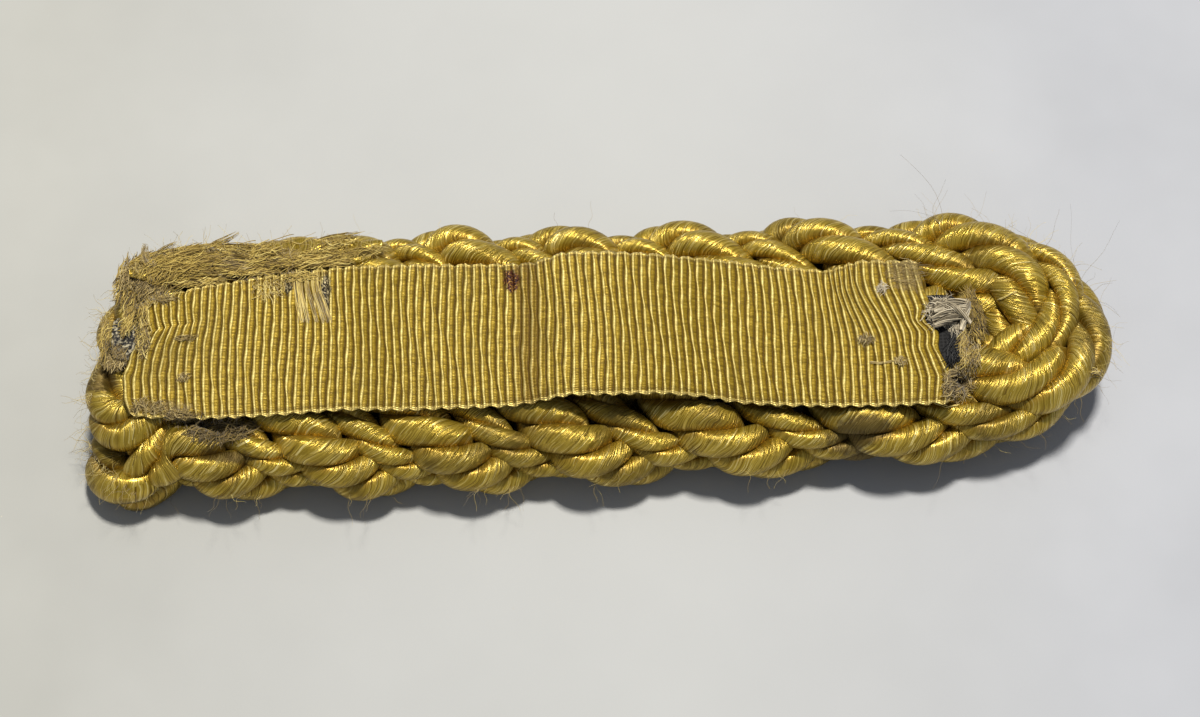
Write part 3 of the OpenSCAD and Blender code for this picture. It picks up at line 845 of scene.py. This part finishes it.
def cloth_piece(node, box, z, material, tilt=0.0):
    x0, x1, y0, y1 = box
    u, v = np.meshgrid(np.linspace(0, 1, CLOTH_CELLS + 1), np.linspace(0, 1, CLOTH_CELLS + 1), indexing="ij")
    a, b = 2 * u - 1, 2 * v - 1
    corner = 1 - 0.10 * (a * b) ** 4
    x = (x0 + x1) / 2 + (x1 - x0) / 2 * a * corner
    y = (y0 + y1) / 2 + (y1 - y0) / 2 * b * corner
    top = z + tilt * (x - x0) + CLOTH_T - 0.03 + 0.03 * np.sin(2.1 * x) * np.sin(1.7 * y)
    points = np.concatenate([np.stack([x, y, top], -1).reshape(-1, 3),
                             np.stack([x, y, top - CLOTH_T + 0.06], -1).reshape(-1, 3)])
    face = grid_faces(CLOTH_CELLS, CLOTH_CELLS)
    row = CLOTH_CELLS + 1
    k = np.arange(CLOTH_CELLS)
    end = CLOTH_CELLS * row
    rim = np.concatenate([
        np.stack([k, k + 1], -1), np.stack([k + 1 + end, k + end], -1),
        np.stack([(k + 1) * row, k * row], -1),
        np.stack([k * row + CLOTH_CELLS, (k + 1) * row + CLOTH_CELLS], -1)])
    wall = np.stack([rim[:, 0], rim[:, 1], rim[:, 1] + x.size, rim[:, 0] + x.size], -1)
    quads = np.concatenate([face, face[:, ::-1] + x.size, wall])
    piece = make_object(node + "_stiff", points, [quads], None, material)
    own(piece, [node])
    return piece


LOW_LIFT, HIGH_LIFT = (float(lift(x)) for x in BUTTON_CLOTH[:2])
SLOPE = (HIGH_LIFT - LOW_LIFT) / (BUTTON_CLOTH[1] - BUTTON_CLOTH[0])
END_CLOTHS = [
    cloth_piece("shoulder_end_cloth", SHOULDER_CLOTH, CLOTH_Z, BUCKRAM_WORN),
    cloth_piece("button_end_cloth", BUTTON_CLOTH, CLOTH_Z + LOW_LIFT + 0.05, BUCKRAM, SLOPE)]


# Points along each loose fibre
STEPS = 9
FIBRE_RADIUS = 0.06

# Worn skin over the upper leg, and the locks of core yarn on it
SKIN_ROWS = 121
SKIN_COLUMNS = 25
SKIN_UNDER = 0.2
LOCK_FIBRES = 46
BACK_FIBRES = 600
Lock = namedtuple("Lock", "x round_leg length heading rise")
LOCKS = [
    Lock(8.5, 6.2, 7, 118, 0.8), Lock(11, 6.0, 7, 80, 0.6), Lock(15, 5.2, 8, 30, 0.5),
    Lock(18.5, 6.8, 6, 62, 1.2), Lock(20, 3.9, 8, 6, 0.1), Lock(20.5, 5.2, 8, 2, 0.1),
    Lock(21.5, 3.0, 7, 9, 0.1), Lock(28, 5.6, 7, 28, 0.5), Lock(34, 5.2, 8, 16, 0.4)]


def skin_point(x, d, h):
    # x along the board, d round the leg from its middle, h above the cords
    c, r = RING_HALF_WIDTH - RING_HALF_HEIGHT, RING_MID
    a = np.maximum(0, d - c) / r
    y = look(x, SPREAD, 2) + np.minimum(d, c) + (r + h) * np.sin(a)
    return np.stack([x, y, RING_MID + (r + h) * np.cos(a) + lift(x)], -1)


def skin_place(f, k):
    # x, d and h of the skin. f runs from 0 to 1 along it and k from 0 to 1 over it.
    x = WORN_FIRST + (WORN_LAST - WORN_FIRST) * f
    depth = WORN_DEPTH * (0.35 + 0.65 * np.sin(math.pi * (0.04 + 0.92 * f)) ** 0.6)
    broad = 1 - (1 - np.minimum(1, 5 * np.minimum(f, 1 - f) + 0.25)) ** 2
    near = 3.4 - broad * (2.2 + 0.4 * np.sin(np.radians(x * 41)))
    far = 3.4 + broad * (4.4 + 0.9 * np.sin(np.radians(x * 27 + 60)) - 3 * f ** 3)
    thick = depth * (0.8 + 0.35 * np.sin(np.radians(x * 53 + k * 388)))
    ruck = 0.08 * np.sin(6.3 * (k * 9 + 0.5 * np.sin(x * 1.1)) + 0.4 * x) * np.sin(math.pi * k)
    # Lobes of the cord show through it, more so away from the end
    lobe = np.abs(np.sin(0.47 * x - 2.6 * k + 0.6)) ** 0.8
    ruck = ruck + (0.3 + 0.6 * f) * (lobe - 0.65) * np.sin(math.pi * k) ** 0.5
    return x, near + (far - near) * k, 0.35 + np.sin(math.pi * k) ** 0.4 * (thick + ruck)


def worn_skin():
    f, k = np.meshgrid(np.linspace(0, 1, SKIN_ROWS), np.linspace(0, 1, SKIN_COLUMNS), indexing="ij")
    x, d, h = skin_place(f, k)
    upper = skin_point(x, d, h)
    lower = skin_point(x, d, np.full_like(x, SKIN_UNDER))
    ring = np.concatenate([upper, lower[:, ::-1]], 1)[None]
    points, faces, uv = tube_set(ring, np.linspace(0, WORN_LAST - WORN_FIRST, SKIN_ROWS)[None])
    for part in uv:
        part[..., 1] *= 0.1
    return points, faces, uv


def lock_fibres(rng, lock, count):
    # One lock of yarn: fibres spread round its line, drawn together at the tip
    f = 0.08 + np.linspace(0, 1, STEPS)[None, :] * (0.35 + 0.55 * rng.random((count, 1)) ** 1.5)
    h = math.radians(lock.heading)
    wave = 0.6 * np.sin(np.radians(f * 300))
    thin = 0.35 + 0.65 * np.sin(math.pi * np.minimum(1, f * 0.8 + 0.2))
    turn = 2 * math.pi * rng.random((count, 1))
    far = np.sqrt(rng.random((count, 1)))
    twist = turn + 1.5 * f
    side = wave + 0.75 * far * np.cos(twist) * thin + 0.25 * np.sin(5 * f + 6 * turn) * far
    run = lock.length * (f - 0.5)
    x = lock.x + math.cos(h) * run - math.sin(h) * side
    d = lock.round_leg + math.sin(h) * run + math.cos(h) * side
    return skin_point(x, d, WORN_DEPTH + 0.2 + lock.rise * f * f + 0.5 * far * np.sin(twist) * thin)


def back_fibres(rng, count):
    # Fibres on the far side of the skin
    run = np.linspace(-0.5, 0.5, STEPS)[None, :]
    wave = 0.03 * np.sin(2 * math.pi * (run + rng.random((count, 1))))
    wave = wave + 0.1 * rng.normal(size=(count, 1)) * run
    f = 0.8 * rng.random((count, 1)) ** 1.6 + (0.08 + 0.06 * rng.random((count, 1))) * run
    k = 0.35 + 0.72 * rng.random((count, 1)) + wave
    x, d, h = skin_place(clamp01(f), clamp01(k))
    return skin_point(x, d, h + 0.05 + 0.5 * rng.random((count, 1)) ** 2 * (0.5 + run))


# Loose fibres, placed by readings in the photo on the surface that shows there
def surface_tree(objects, skin):
    points, faces = skin[0].tolist(), skin[1][0].tolist()
    for obj in objects:
        co = np.empty(len(obj.data.vertices) * 3, np.float32)
        obj.data.vertices.foreach_get("co", co)
        first = len(points)
        points.extend((co.reshape(-1, 3) / MM + MIDDLE).tolist())
        faces.extend([[first + v for v in p.vertices] for p in obj.data.polygons])
    return BVHTree.FromPolygons(points, faces)


def drop(px, py, level=None):
    # Places of readings on the surface, or at a level where one is given; nan where nothing is there
    if level is not None:
        return seen_at(px, py, level)
    rays = ray_to(px, py).reshape(-1, 3)
    out = np.full(rays.shape, np.nan)
    for i, ray in enumerate(rays):
        hit = SURFACES.ray_cast(Vector(EYE), Vector(ray))[0]
        if hit is not None and hit.z > 0.5:
            out[i] = hit
    return out.reshape(*np.shape(px), 3)


def on_surface(p):
    return p[~np.isnan(p).any((1, 2))]


def mean_height(p, reach):
    # Height of each point, evened out over this many points on either side
    pad = np.pad(p[..., 2], ((0, 0), (reach, reach)), "edge")
    return sum(pad[:, i:i + STEPS] for i in range(2 * reach + 1)) / (2 * reach + 1)


def raised(p, aim):
    # Brings each point to its height along the line of sight, so that it still shows at its reading
    return p + BACK * ((aim - p[..., 2]) / BACK[2])[..., None]


def toned(rng, tone, count):
    return tone[0] + (tone[1] - tone[0]) * rng.random(count)


# Fibres lying round one reading. The reading, half size, length and curl are in pixels of the photo,
# heading and spread in degrees, and rise, radius and level in mm. tone is its lowest and highest share.
Tuft = namedtuple("Tuft", "count reading half_size heading length spread rise curl tone radius level",
                  defaults=(14, 0.5, 2.0, (0.2, 0.8), 0.055, None))
# Threads that follow a line of readings, in the same units
Strand = namedtuple("Strand", "count readings radius spread tone rise level",
                    defaults=(0.1, 1.2, (0.3, 0.9), 0.3, None))


def tuft_fibres(rng, t):
    some = (t.count, 1)
    r = np.sqrt(rng.random(some))
    a = 2 * math.pi * rng.random(some)
    f = np.linspace(-0.5, 0.5, STEPS)[None, :]
    h = np.radians(t.heading + t.spread * rng.normal(size=some))
    run = t.length * (0.4 + 0.9 * rng.random(some)) * f
    side = t.curl * rng.normal(size=some) * (4 * f * f - 0.3)
    side = side + 0.4 * t.curl * np.sin(2 * math.pi * (1.2 * f + rng.random(some)))
    x = t.reading[0] + t.half_size[0] * r * np.cos(a) + run * np.cos(h) + side * np.sin(h)
    y = t.reading[1] + t.half_size[1] * r * np.sin(a) - run * np.sin(h) + side * np.cos(h)
    p = on_surface(drop(x, y, t.level))
    lie = rng.random((len(p), 1))
    aim = np.maximum(p[..., 2], mean_height(p, 2)) + 0.08
    p = raised(p, aim + t.rise * lie ** 2 * np.cos(math.pi * f) + 0.3 * t.rise * lie)
    radius = t.radius * (0.6 + 0.7 * rng.random((len(p), 1))) * (1 - 0.6 * np.abs(2 * f) ** 3)
    return p, radius, toned(rng, t.tone, len(p))


def strand_fibres(rng, s):
    readings = np.array(s.readings, float)
    f = np.linspace(0, 1, STEPS)
    at = f * (len(readings) - 1)
    line = np.stack([np.interp(at, np.arange(len(readings)), readings[:, c]) for c in (0, 1)])[:, None, :]
    off = s.spread * rng.normal(size=(2, s.count, 1))
    off = off + 0.4 * s.spread * rng.normal(size=(2, s.count, STEPS)).cumsum(2) / 3
    p = on_surface(drop(*(line + off), s.level))
    aim = np.maximum(p[..., 2], mean_height(p, 1)) + s.radius
    p = raised(p, aim + s.rise * np.sin(math.pi * f) * rng.random((len(p), 1)))
    return p, np.full(p.shape[:2], s.radius), toned(rng, s.tone, len(p))


def fibres_of(rng, things):
    return [tuft_fibres(rng, t) if isinstance(t, Tuft) else strand_fibres(rng, t) for t in things]


def loose(name, sets, material, nodes=None, skin=None):
    # One piece of all the fibres, over a surface of wound silk where there is one
    paths, radius, tone = (np.concatenate([s[i] for s in sets]) for i in range(3))
    rings, lengths = fibre_rings(paths, radius)
    points, faces, uv = tube_set(rings, lengths, tone)
    fibres = sum(len(f) for f in faces)
    if skin is not None:
        more, more_faces, more_uv = skin
        faces = faces + [f + len(points) for f in more_faces]
        points, uv = np.concatenate([points, more]), uv + more_uv
    piece = make_object(name, points, faces, uv, material)
    if skin is not None:
        piece.data.materials.append(SILK)
        kind = (np.arange(len(piece.data.polygons)) >= fibres).astype(np.int32)
        piece.data.polygons.foreach_set("material_index", kind)
    return own(piece, nodes)


SKIN = worn_skin()
SURFACES = surface_tree(CORDS + [RIBBON_STRAP] + END_CLOTHS, SKIN)

# Frayed core yarn on the skin. Three satin lobes stay mostly bare: their places along the board and
# beyond these distances from its middle line, in mm.
LOBE_X, LOBE_HALF, LOBE_Y = 28.3, 4.4, 12.5
SMALL_LOBE_X, SMALL_LOBE_HALF, SMALL_LOBE_Y = 22.6, 1.6, 14.4
LAST_LOBE_X, LAST_LOBE_Y = 35.6, 10.8
BARE_SHARE = 0.04
SKIN_TUFTS = {
    "over_corner": Tuft(330, (138, 292), (15, 24), 72, 26, 16, 0.7, 3),
    "above_corner": Tuft(330, (156, 274), (22, 16), 48, 30, 14, 0.7, 3),
    "along_top": Tuft(380, (190, 264), (32, 15), 16, 34, 12, 0.7, 3),
    "above_tears": Tuft(260, (294, 256), (46, 7), 12, 26, 20, 0.7, 3.5, (0.3, 0.9)),
    "between_lobes": Tuft(140, (268, 246), (16, 8), 14, 24, 20, 0.5, 3, (0.3, 0.9)),
    "last_of_top": Tuft(90, (340, 240), (16, 5), 10, 24, 25, 0.8, 3, (0.4, 1.0), 0.045),
    "matted": Tuft(200, (280, 262), (20, 9), 25, 18, 30, 0.6, 3, (0.1, 0.6)),
    "upright_left": Tuft(60, (134, 266), (6, 6), 118, 18, 12, 1.2, 2, (0.5, 0.9)),
    "upright_tip": Tuft(60, (223, 247), (8, 4), 70, 12, 25, 1.2, 2, (0.5, 0.9)),
}


def off_lobes(rng, fibres):
    # Leaves out most of the fibres that would lie on the satin lobes
    x, y = fibres[0][:, STEPS // 2, 0], fibres[0][:, STEPS // 2, 1]
    bare = (np.abs(x - LOBE_X) < LOBE_HALF) & (y > LOBE_Y + 0.06 * (x - LOBE_X) ** 2)
    bare = bare | ((x > LAST_LOBE_X) & (y > LAST_LOBE_Y))
    bare = bare | ((np.abs(x - SMALL_LOBE_X) < SMALL_LOBE_HALF) & (y > SMALL_LOBE_Y))
    keep = ~bare | (rng.random(len(x)) < BARE_SHARE)
    return [part[keep] for part in fibres]


def frayed_core():
    rng = np.random.default_rng(11)
    sets = []
    for lock in LOCKS:
        p = lock_fibres(rng, lock, LOCK_FIBRES)
        radius = np.full(p.shape[:2], FIBRE_RADIUS) * np.linspace(1.1, 0.4, STEPS)
        sets.append((p, radius, 0.15 + 0.6 * rng.random(LOCK_FIBRES)))
    back = back_fibres(rng, BACK_FIBRES)
    sets.append((back, np.full(back.shape[:2], FIBRE_RADIUS), 0.2 + 0.7 * rng.random(BACK_FIBRES)))
    sets += fibres_of(rng, SKIN_TUFTS.values())
    loose("frayed_core_yarn", [off_lobes(rng, s) for s in sets], GOLD_FLUFF, ["frayed_core"],
          SKIN)


# Bar tack: turns of thread over the end of the ribbon, as two places and the height of the arch between
TACK_X = 112
TACK_T = 1.1
TACK_Z = RIBBON_BASE + lift(TACK_X) + RIBBON_T + TACK_T / 4 + LAY_GAP
TACK_LOW = TACK_Z - 0.7
TACK_ROWS = [
    ((111.9, -2.8, TACK_Z), (116.6, -0.9, TACK_LOW), 0.6),
    ((111.6, -1.8, TACK_Z), (117.0, 0.1, TACK_LOW), 0.9),
    ((112.0, -0.6, TACK_Z), (116.6, 1.0, TACK_LOW), 0.8),
    ((112.6, 0.6, TACK_Z), (116.8, -2.2, TACK_LOW), 1.1),
    ((115.4, -3.2, TACK_LOW), (116.8, 1.4, TACK_LOW), 0.5)]
TACK_FIBRES = 34
TACK_ENDS = {
    "loose_ends": Tuft(160, (941, 312), (13, 13), -20, 20, 35, 0.9, 4, (0.1, 0.95), 0.055),
    "long_end": Strand(8, [(934, 322), (944, 319), (953, 326), (957, 334)], 0.07, 1.2, (0.4, 1.0)),
}


def bar_tack():
    rng = np.random.default_rng(12)
    sets = []
    f = np.linspace(0, 1, STEPS)[None, :, None]
    up = np.array([0, 0, 1.0])
    for start, end, arch in TACK_ROWS:
        start, end = np.array(start), np.array(end)
        side = unit(np.array([start[1] - end[1], end[0] - start[0], 0.0]))
        turn = 2 * math.pi * rng.random((TACK_FIBRES, 1, 1))
        far = np.sqrt(rng.random((TACK_FIBRES, 1, 1)))
        swell = 0.5 * (0.55 + 0.6 * np.sin(math.pi * f)) * far
        twist = turn + 2.5 * f
        p = start + (end - start) * f + arch * up * np.sin(math.pi * f)
        p = p + swell * (np.cos(twist) * side + np.sin(twist) * up)
        sets.append((p, np.full((TACK_FIBRES, STEPS), FIBRE_RADIUS), 0.1 + 0.8 * rng.random(TACK_FIBRES)))
    sets += fibres_of(rng, TACK_ENDS.values())
    loose("bar_tack_threads", sets, GREY_THREAD, ["bar_tack"])


# Other loose threads, each named for its place
GREY_ENDS = {
    "stitch_end": Tuft(30, (882, 288), (4, 5), 50, 9, 30, 0.3, 2, (0.4, 0.9)),
    "under_tack": Tuft(40, (955, 328), (6, 7), -70, 14, 20, 0.6, 3, (0.3, 0.9), 0.05),
}
CORE_ENDS = {
    "grey_end_of_ribbon": Tuft(60, (907, 272), (19, 13), -6, 22, 12, 0.1, 1.5, (0.3, 0.9), 0.028),
    "worn_corner": Tuft(60, (148, 406), (18, 7), 40, 13, 50, 0.5, 3, (0.3, 0.95), 0.045),
    "ribbon_left_top": Tuft(44, (163, 299), (14, 5), 15, 14, 40, 0.3, 3, (0.3, 0.9), 0.04),
    "below_corner": Tuft(200, (228, 424), (34, 5), 8, 20, 30, 0.5, 3, (0.1, 0.7), 0.06, 10.5),
    "stitch_right": Tuft(45, (866, 339), (8, 4), 10, 8, 50, 0.6, 3, (0.3, 1.0), 0.05),
    "stitch_low_right": Tuft(30, (899, 361), (5, 4), 10, 7, 50, 0.6, 3, (0.5, 1.0), 0.05),
    "stitch_thread": Strand(3, [(870, 362), (880, 363), (893, 361)], 0.05, 0.5, (0.5, 1.0), 0.2),
    "stitch_left": Tuft(24, (186, 338), (11, 2.5), 15, 12, 15, 0.3, 1.5, (0.3, 0.9), 0.045),
    "stitch_low_left": Tuft(26, (184, 378), (5, 4), 30, 8, 40, 0.4, 2, (0.3, 0.9), 0.05),
    "smooth_lock": Tuft(300, (232, 266), (24, 13), -6, 30, 5, 0.3, 2, (0.1, 0.9), 0.06),
    "matted_lock": Tuft(150, (283, 261), (14, 9), 30, 18, 30, 0.6, 3, (0.2, 0.9), 0.05),
    "below_ribbon": Tuft(240, (222, 430), (32, 10), 22, 22, 30, 0.6, 3, (0.0, 0.6)),
    "below_ribbon_left": Tuft(140, (181, 416), (14, 6), 0, 16, 35, 0.6, 3, (0.2, 0.9), 0.045),
    "shoulder_cloth": Tuft(150, (113, 357), (13, 10), 70, 16, 25, 0.3, 2, (0.2, 0.8), 0.045),
    "over_shoulder_cloth": Tuft(190, (115, 359), (13, 7), 60, 15, 25, 0.3, 2, (0.3, 1.0), 0.05, 12.8),
    "corner_of_skin": Tuft(80, (131, 277), (9, 8), 60, 18, 20, 0.4, 3, (0.3, 1.0), 0.06, 12.0),
    "edge_of_skin": Tuft(160, (152, 284), (14, 12), 55, 20, 16, 0.5, 3, (0.1, 0.9), 0.06, 12.8),
    "beside_opening": Tuft(260, (969, 358), (9, 22), 80, 18, 30, 0.6, 3, (0.1, 0.8), 0.06, 12.2),
    "below_opening": Tuft(200, (958, 384), (14, 15), 60, 16, 40, 0.6, 3, (0.2, 0.9), 0.06),
}
# Torn weft threads hang between these places at the foot and the top of the longer tear
TEAR_TOP, TEAR_MIDDLE, TEAR_BEND, TEAR_FOOT = 273, 290, 306, 321
TORN_WEFT = [(302, 296), (309, 301), (317, 307), (323, 312), (329, 317)]
GOLD_ENDS = {
    "above_opening": Tuft(150, (970, 303), (8, 11), -62, 18, 16, 0.3, 3, (0.0, 0.65), 0.05, 15.4),
    "fringe": Tuft(320, (300, 262), (48, 5), 10, 22, 12, 0.4, 2, (0.2, 0.9), 0.06, 13.9),
    "fringe_left": Tuft(150, (250, 271), (27, 4), 14, 22, 12, 0.3, 2, (0.2, 0.9), 0.06, 13.7),
    "down_the_end": Tuft(140, (105, 338), (4, 16), 72, 18, 14, 0.4, 2, (0.1, 0.9), 0.06, 13.6),
    "beside_ribbon_end": Tuft(110, (127, 322), (5, 12), 62, 16, 14, 0.4, 2, (0.2, 0.9), 0.06, 13.9),
    "cord_end": Tuft(90, (118, 452), (9, 5), 20, 14, 30, 0.4, 2, (0.1, 0.8), 0.06, 6.0),
    "last_lobe": Tuft(40, (376, 251), (10, 6), -8, 22, 20, 0.4, 2, (0.3, 0.95), 0.045),
    "short_tear": Tuft(60, (268, 288), (16, 11), 80, 14, 30, 0.3, 3, (0.4, 1.0), 0.06),
    "torn_edge": Tuft(60, (300, 276), (16, 5), 10, 16, 40, 0.3, 3, (0.3, 0.9)),
    "over_corner": Tuft(420, (131, 284), (14, 20), 66, 24, 14, 0.7, 3, (0.0, 0.9), 0.06, 11.0),
    "round_opening": Strand(4, [(968, 321), (970, 331), (977, 338), (980, 344)], 0.12, 0.8, (0.7, 1.0),
                            0.2, 13.2),
    "outer_cord": Tuft(40, (1098, 374), (4, 5), -20, 10, 30, 1.0, 2, (0.3, 0.9)),
    "thread_end": Strand(3, [(996, 301), (1005, 297), (1017, 291)], 0.06, 0.3, (0.7, 1.0), 0.5),
    "low_thread_end": Strand(4, [(935, 403), (946, 407), (958, 405)], 0.06, 0.5, (0.7, 1.0), 0.4),
    "outer_edge": Tuft(160, (143, 338), (6, 16), 80, 16, 18, 0.5, 3, (0.1, 0.9), 0.05),
    "ribbon_left_edge": Tuft(170, (196, 281), (25, 5), 8, 24, 12, 0.4, 2, (0.2, 0.9), 0.06, 13.3),
    "beyond_tears": Tuft(60, (352, 252), (22, 7), 12, 26, 14, 0.6, 3, (0.2, 0.8), 0.045),
    "past_tack": Tuft(200, (975, 322), (9, 13), -62, 20, 20, 0.4, 3, (0.0, 0.7), 0.055, 13.6),
    "rim_of_opening": Tuft(110, (964, 346), (4, 17), 74, 16, 16, 0.3, 2, (0.1, 0.8), 0.05, 15.3),
    "outside_opening": Tuft(130, (972, 352), (8, 18), 84, 18, 26, 0.6, 3, (0.0, 0.75), 0.05),
}
BLACK_ENDS = {
    "in_opening": Tuft(60, (952, 347), (7, 15), 75, 24, 18, 0.4, 3, (0.1, 0.9), 0.06),
    "black_hair": Strand(2, [(150, 262), (155, 255), (165, 253), (172, 256)], 0.05, 0.3, (0.2, 0.4), 1.2),
}


def torn_weft():
    for foot, top in TORN_WEFT:
        bend = foot * 0.6 + top * 0.4
        line = [(foot, TEAR_FOOT), (bend, TEAR_BEND), (top + 1, TEAR_MIDDLE), (top, TEAR_TOP)]
        yield Strand(12, line, 0.055, 1.7, (0.2, 1.0), 0.25)


def other_threads():
    rng = np.random.default_rng(13)
    loose("loose_grey_threads", fibres_of(rng, GREY_ENDS.values()), GREY_THREAD)
    loose("worn_core_threads", fibres_of(rng, CORE_ENDS.values()), CORE_THREAD)
    gold = [*torn_weft(), *GOLD_ENDS.values()]
    loose("loose_gold_threads", fibres_of(rng, gold), GOLD_FLUFF)
    loose("black_threads", fibres_of(rng, BLACK_ENDS.values()), BLACK_THREAD)


# Stray hairs stand out from the outline, given by readings in clockwise order
OUTLINE = [
    (211, 500), (133, 498), (88, 457), (84, 412), (99, 337), (109, 301), (130, 274), (178, 250), (250, 248),
    (350, 240), (403, 228), (517, 231), (646, 216), (767, 217), (920, 217), (942, 218), (1003, 230),
    (1035, 245), (1059, 257), (1086, 290), (1110, 335), (1108, 355), (1095, 385), (1060, 420), (1010, 445),
    (900, 462), (800, 475), (638, 477), (554, 490), (500, 492), (404, 498), (303, 500), (211, 500)]
ROOT_INSET = 5
ROWS_PER_MM = 6.62
# Their count, stretch of the outline, length in pixels, lowest and highest tone, and radius in mm
Hairs = namedtuple("Hairs", "count edge length tone radius")
HAIRS = {
    "all_round": Hairs(120, OUTLINE, 20, (0.2, 0.9), 0.02),
    "worn_end": Hairs(280, OUTLINE[1:10], 17, (0.3, 1.0), 0.028),
    "turn": Hairs(40, OUTLINE[14:22], 26, (0.1, 0.9), 0.02),
    "lower_edge": Hairs(70, OUTLINE[-8:], 17, (0.2, 0.9), 0.024),
    "long_hairs": Hairs(9, OUTLINE[13:20], 60, (0.0, 0.3), 0.02),
}


def hair_fibres(rng, hairs):
    edge = np.array(hairs.edge, float)
    pick = rng.random(hairs.count) * (len(edge) - 1)
    i = pick.astype(int)
    start = edge[i] + (edge[i + 1] - edge[i]) * (pick - i)[:, None]
    way = unit(edge[i + 1] - edge[i])
    out = np.stack([way[:, 1], -way[:, 0]], -1)
    turn = 0.7 * rng.normal(size=hairs.count)
    heading = np.stack([out[:, 0] * np.cos(turn) - out[:, 1] * np.sin(turn),
                        out[:, 0] * np.sin(turn) + out[:, 1] * np.cos(turn)], -1)
    base = start - out * ROOT_INSET
    root = drop(base[:, 0], base[:, 1])
    ok = ~np.isnan(root).any(1)
    root, heading = root[ok], heading[ok]
    some = (len(root), 1)
    f = np.linspace(0, 1, STEPS)[None, :]
    far = (ROOT_INSET + hairs.length * (0.4 + 0.9 * rng.random(some) ** 2)) * f
    bend = hairs.length * 0.5 * rng.normal(size=some) * f * f + 1.2 * np.sin(9 * f + 6 * rng.random(some))
    dx = heading[:, :1] * far - heading[:, 1:] * bend
    dy = heading[:, 1:] * far + heading[:, :1] * bend
    p = root[:, None, :] + np.stack([dx / PIXELS_PER_MM, -dy / ROWS_PER_MM, np.zeros_like(dx)], -1)
    p[..., 2] = np.maximum(0.1, p[..., 2] + 0.15 + (1.4 * rng.random(some) - 0.8) * f * f * far / 8)
    radius = hairs.radius * (0.7 + 0.6 * rng.random(some)) * (1 - 0.5 * f)
    return p, radius, toned(rng, hairs.tone, len(root))


def stray_hairs():
    rng = np.random.default_rng(14)
    loose("stray_hairs", [hair_fibres(rng, hairs) for hairs in HAIRS.values()], GOLD_FLUFF)


frayed_core()
bar_tack()
other_threads()
stray_hairs()

# Floor, camera and light
FLOOR_SIZE = 3.0
SENSOR_WIDTH = 36
bpy.ops.mesh.primitive_plane_add(size=FLOOR_SIZE, location=(0, 0, 0))
floor = bpy.context.object
floor.name = "paper_sheet"
floor.data.materials.append(paper())

camera = bpy.data.objects.new("camera", bpy.data.cameras.new("camera"))
camera.data.sensor_width = SENSOR_WIDTH
camera.data.lens = SENSOR_WIDTH * DISTANCE * PIXELS_PER_MM / PHOTO_WIDTH
camera.data.clip_start = 0.01
camera.location = (EYE - MIDDLE) * MM
camera.rotation_euler = (math.pi / 2 - ELEVATION, 0, AZIMUTH)
bpy.context.scene.collection.objects.link(camera)
bpy.context.scene.camera = camera


def area_light(name, place, size, power, colour):
    # A square light at a place in metres, turned to the middle of the object
    light = bpy.data.lights.new(name, "AREA")
    light.shape = "SQUARE"
    light.size = size
    light.energy = power
    light.color = linear(colour)[:3]
    obj = bpy.data.objects.new(name, light)
    obj.location = place
    direction = -np.array(place) / np.linalg.norm(place)
    obj.rotation_euler = (math.acos(-direction[2]), 0, math.atan2(direction[0], -direction[1]))
    bpy.context.scene.collection.objects.link(obj)


# A small lamp high on the far right gives the shadow in front, and a wide one on the left fills it
area_light("key", place=(0.1, 0.175, 1.2), size=0.15, power=23.8, colour="fffcf6")
area_light("side", place=(-0.8, 0.45, 0.7), size=0.5, power=3.0, colour="f2f4ff")
world = bpy.data.worlds.new("room")
world.use_nodes = True
put(world.node_tree.nodes["Background"].inputs["Color"], linear("d5deee"))
put(world.node_tree.nodes["Background"].inputs["Strength"], 0.42)
bpy.context.scene.world = world
bpy.context.scene.view_settings.view_transform = "Standard"
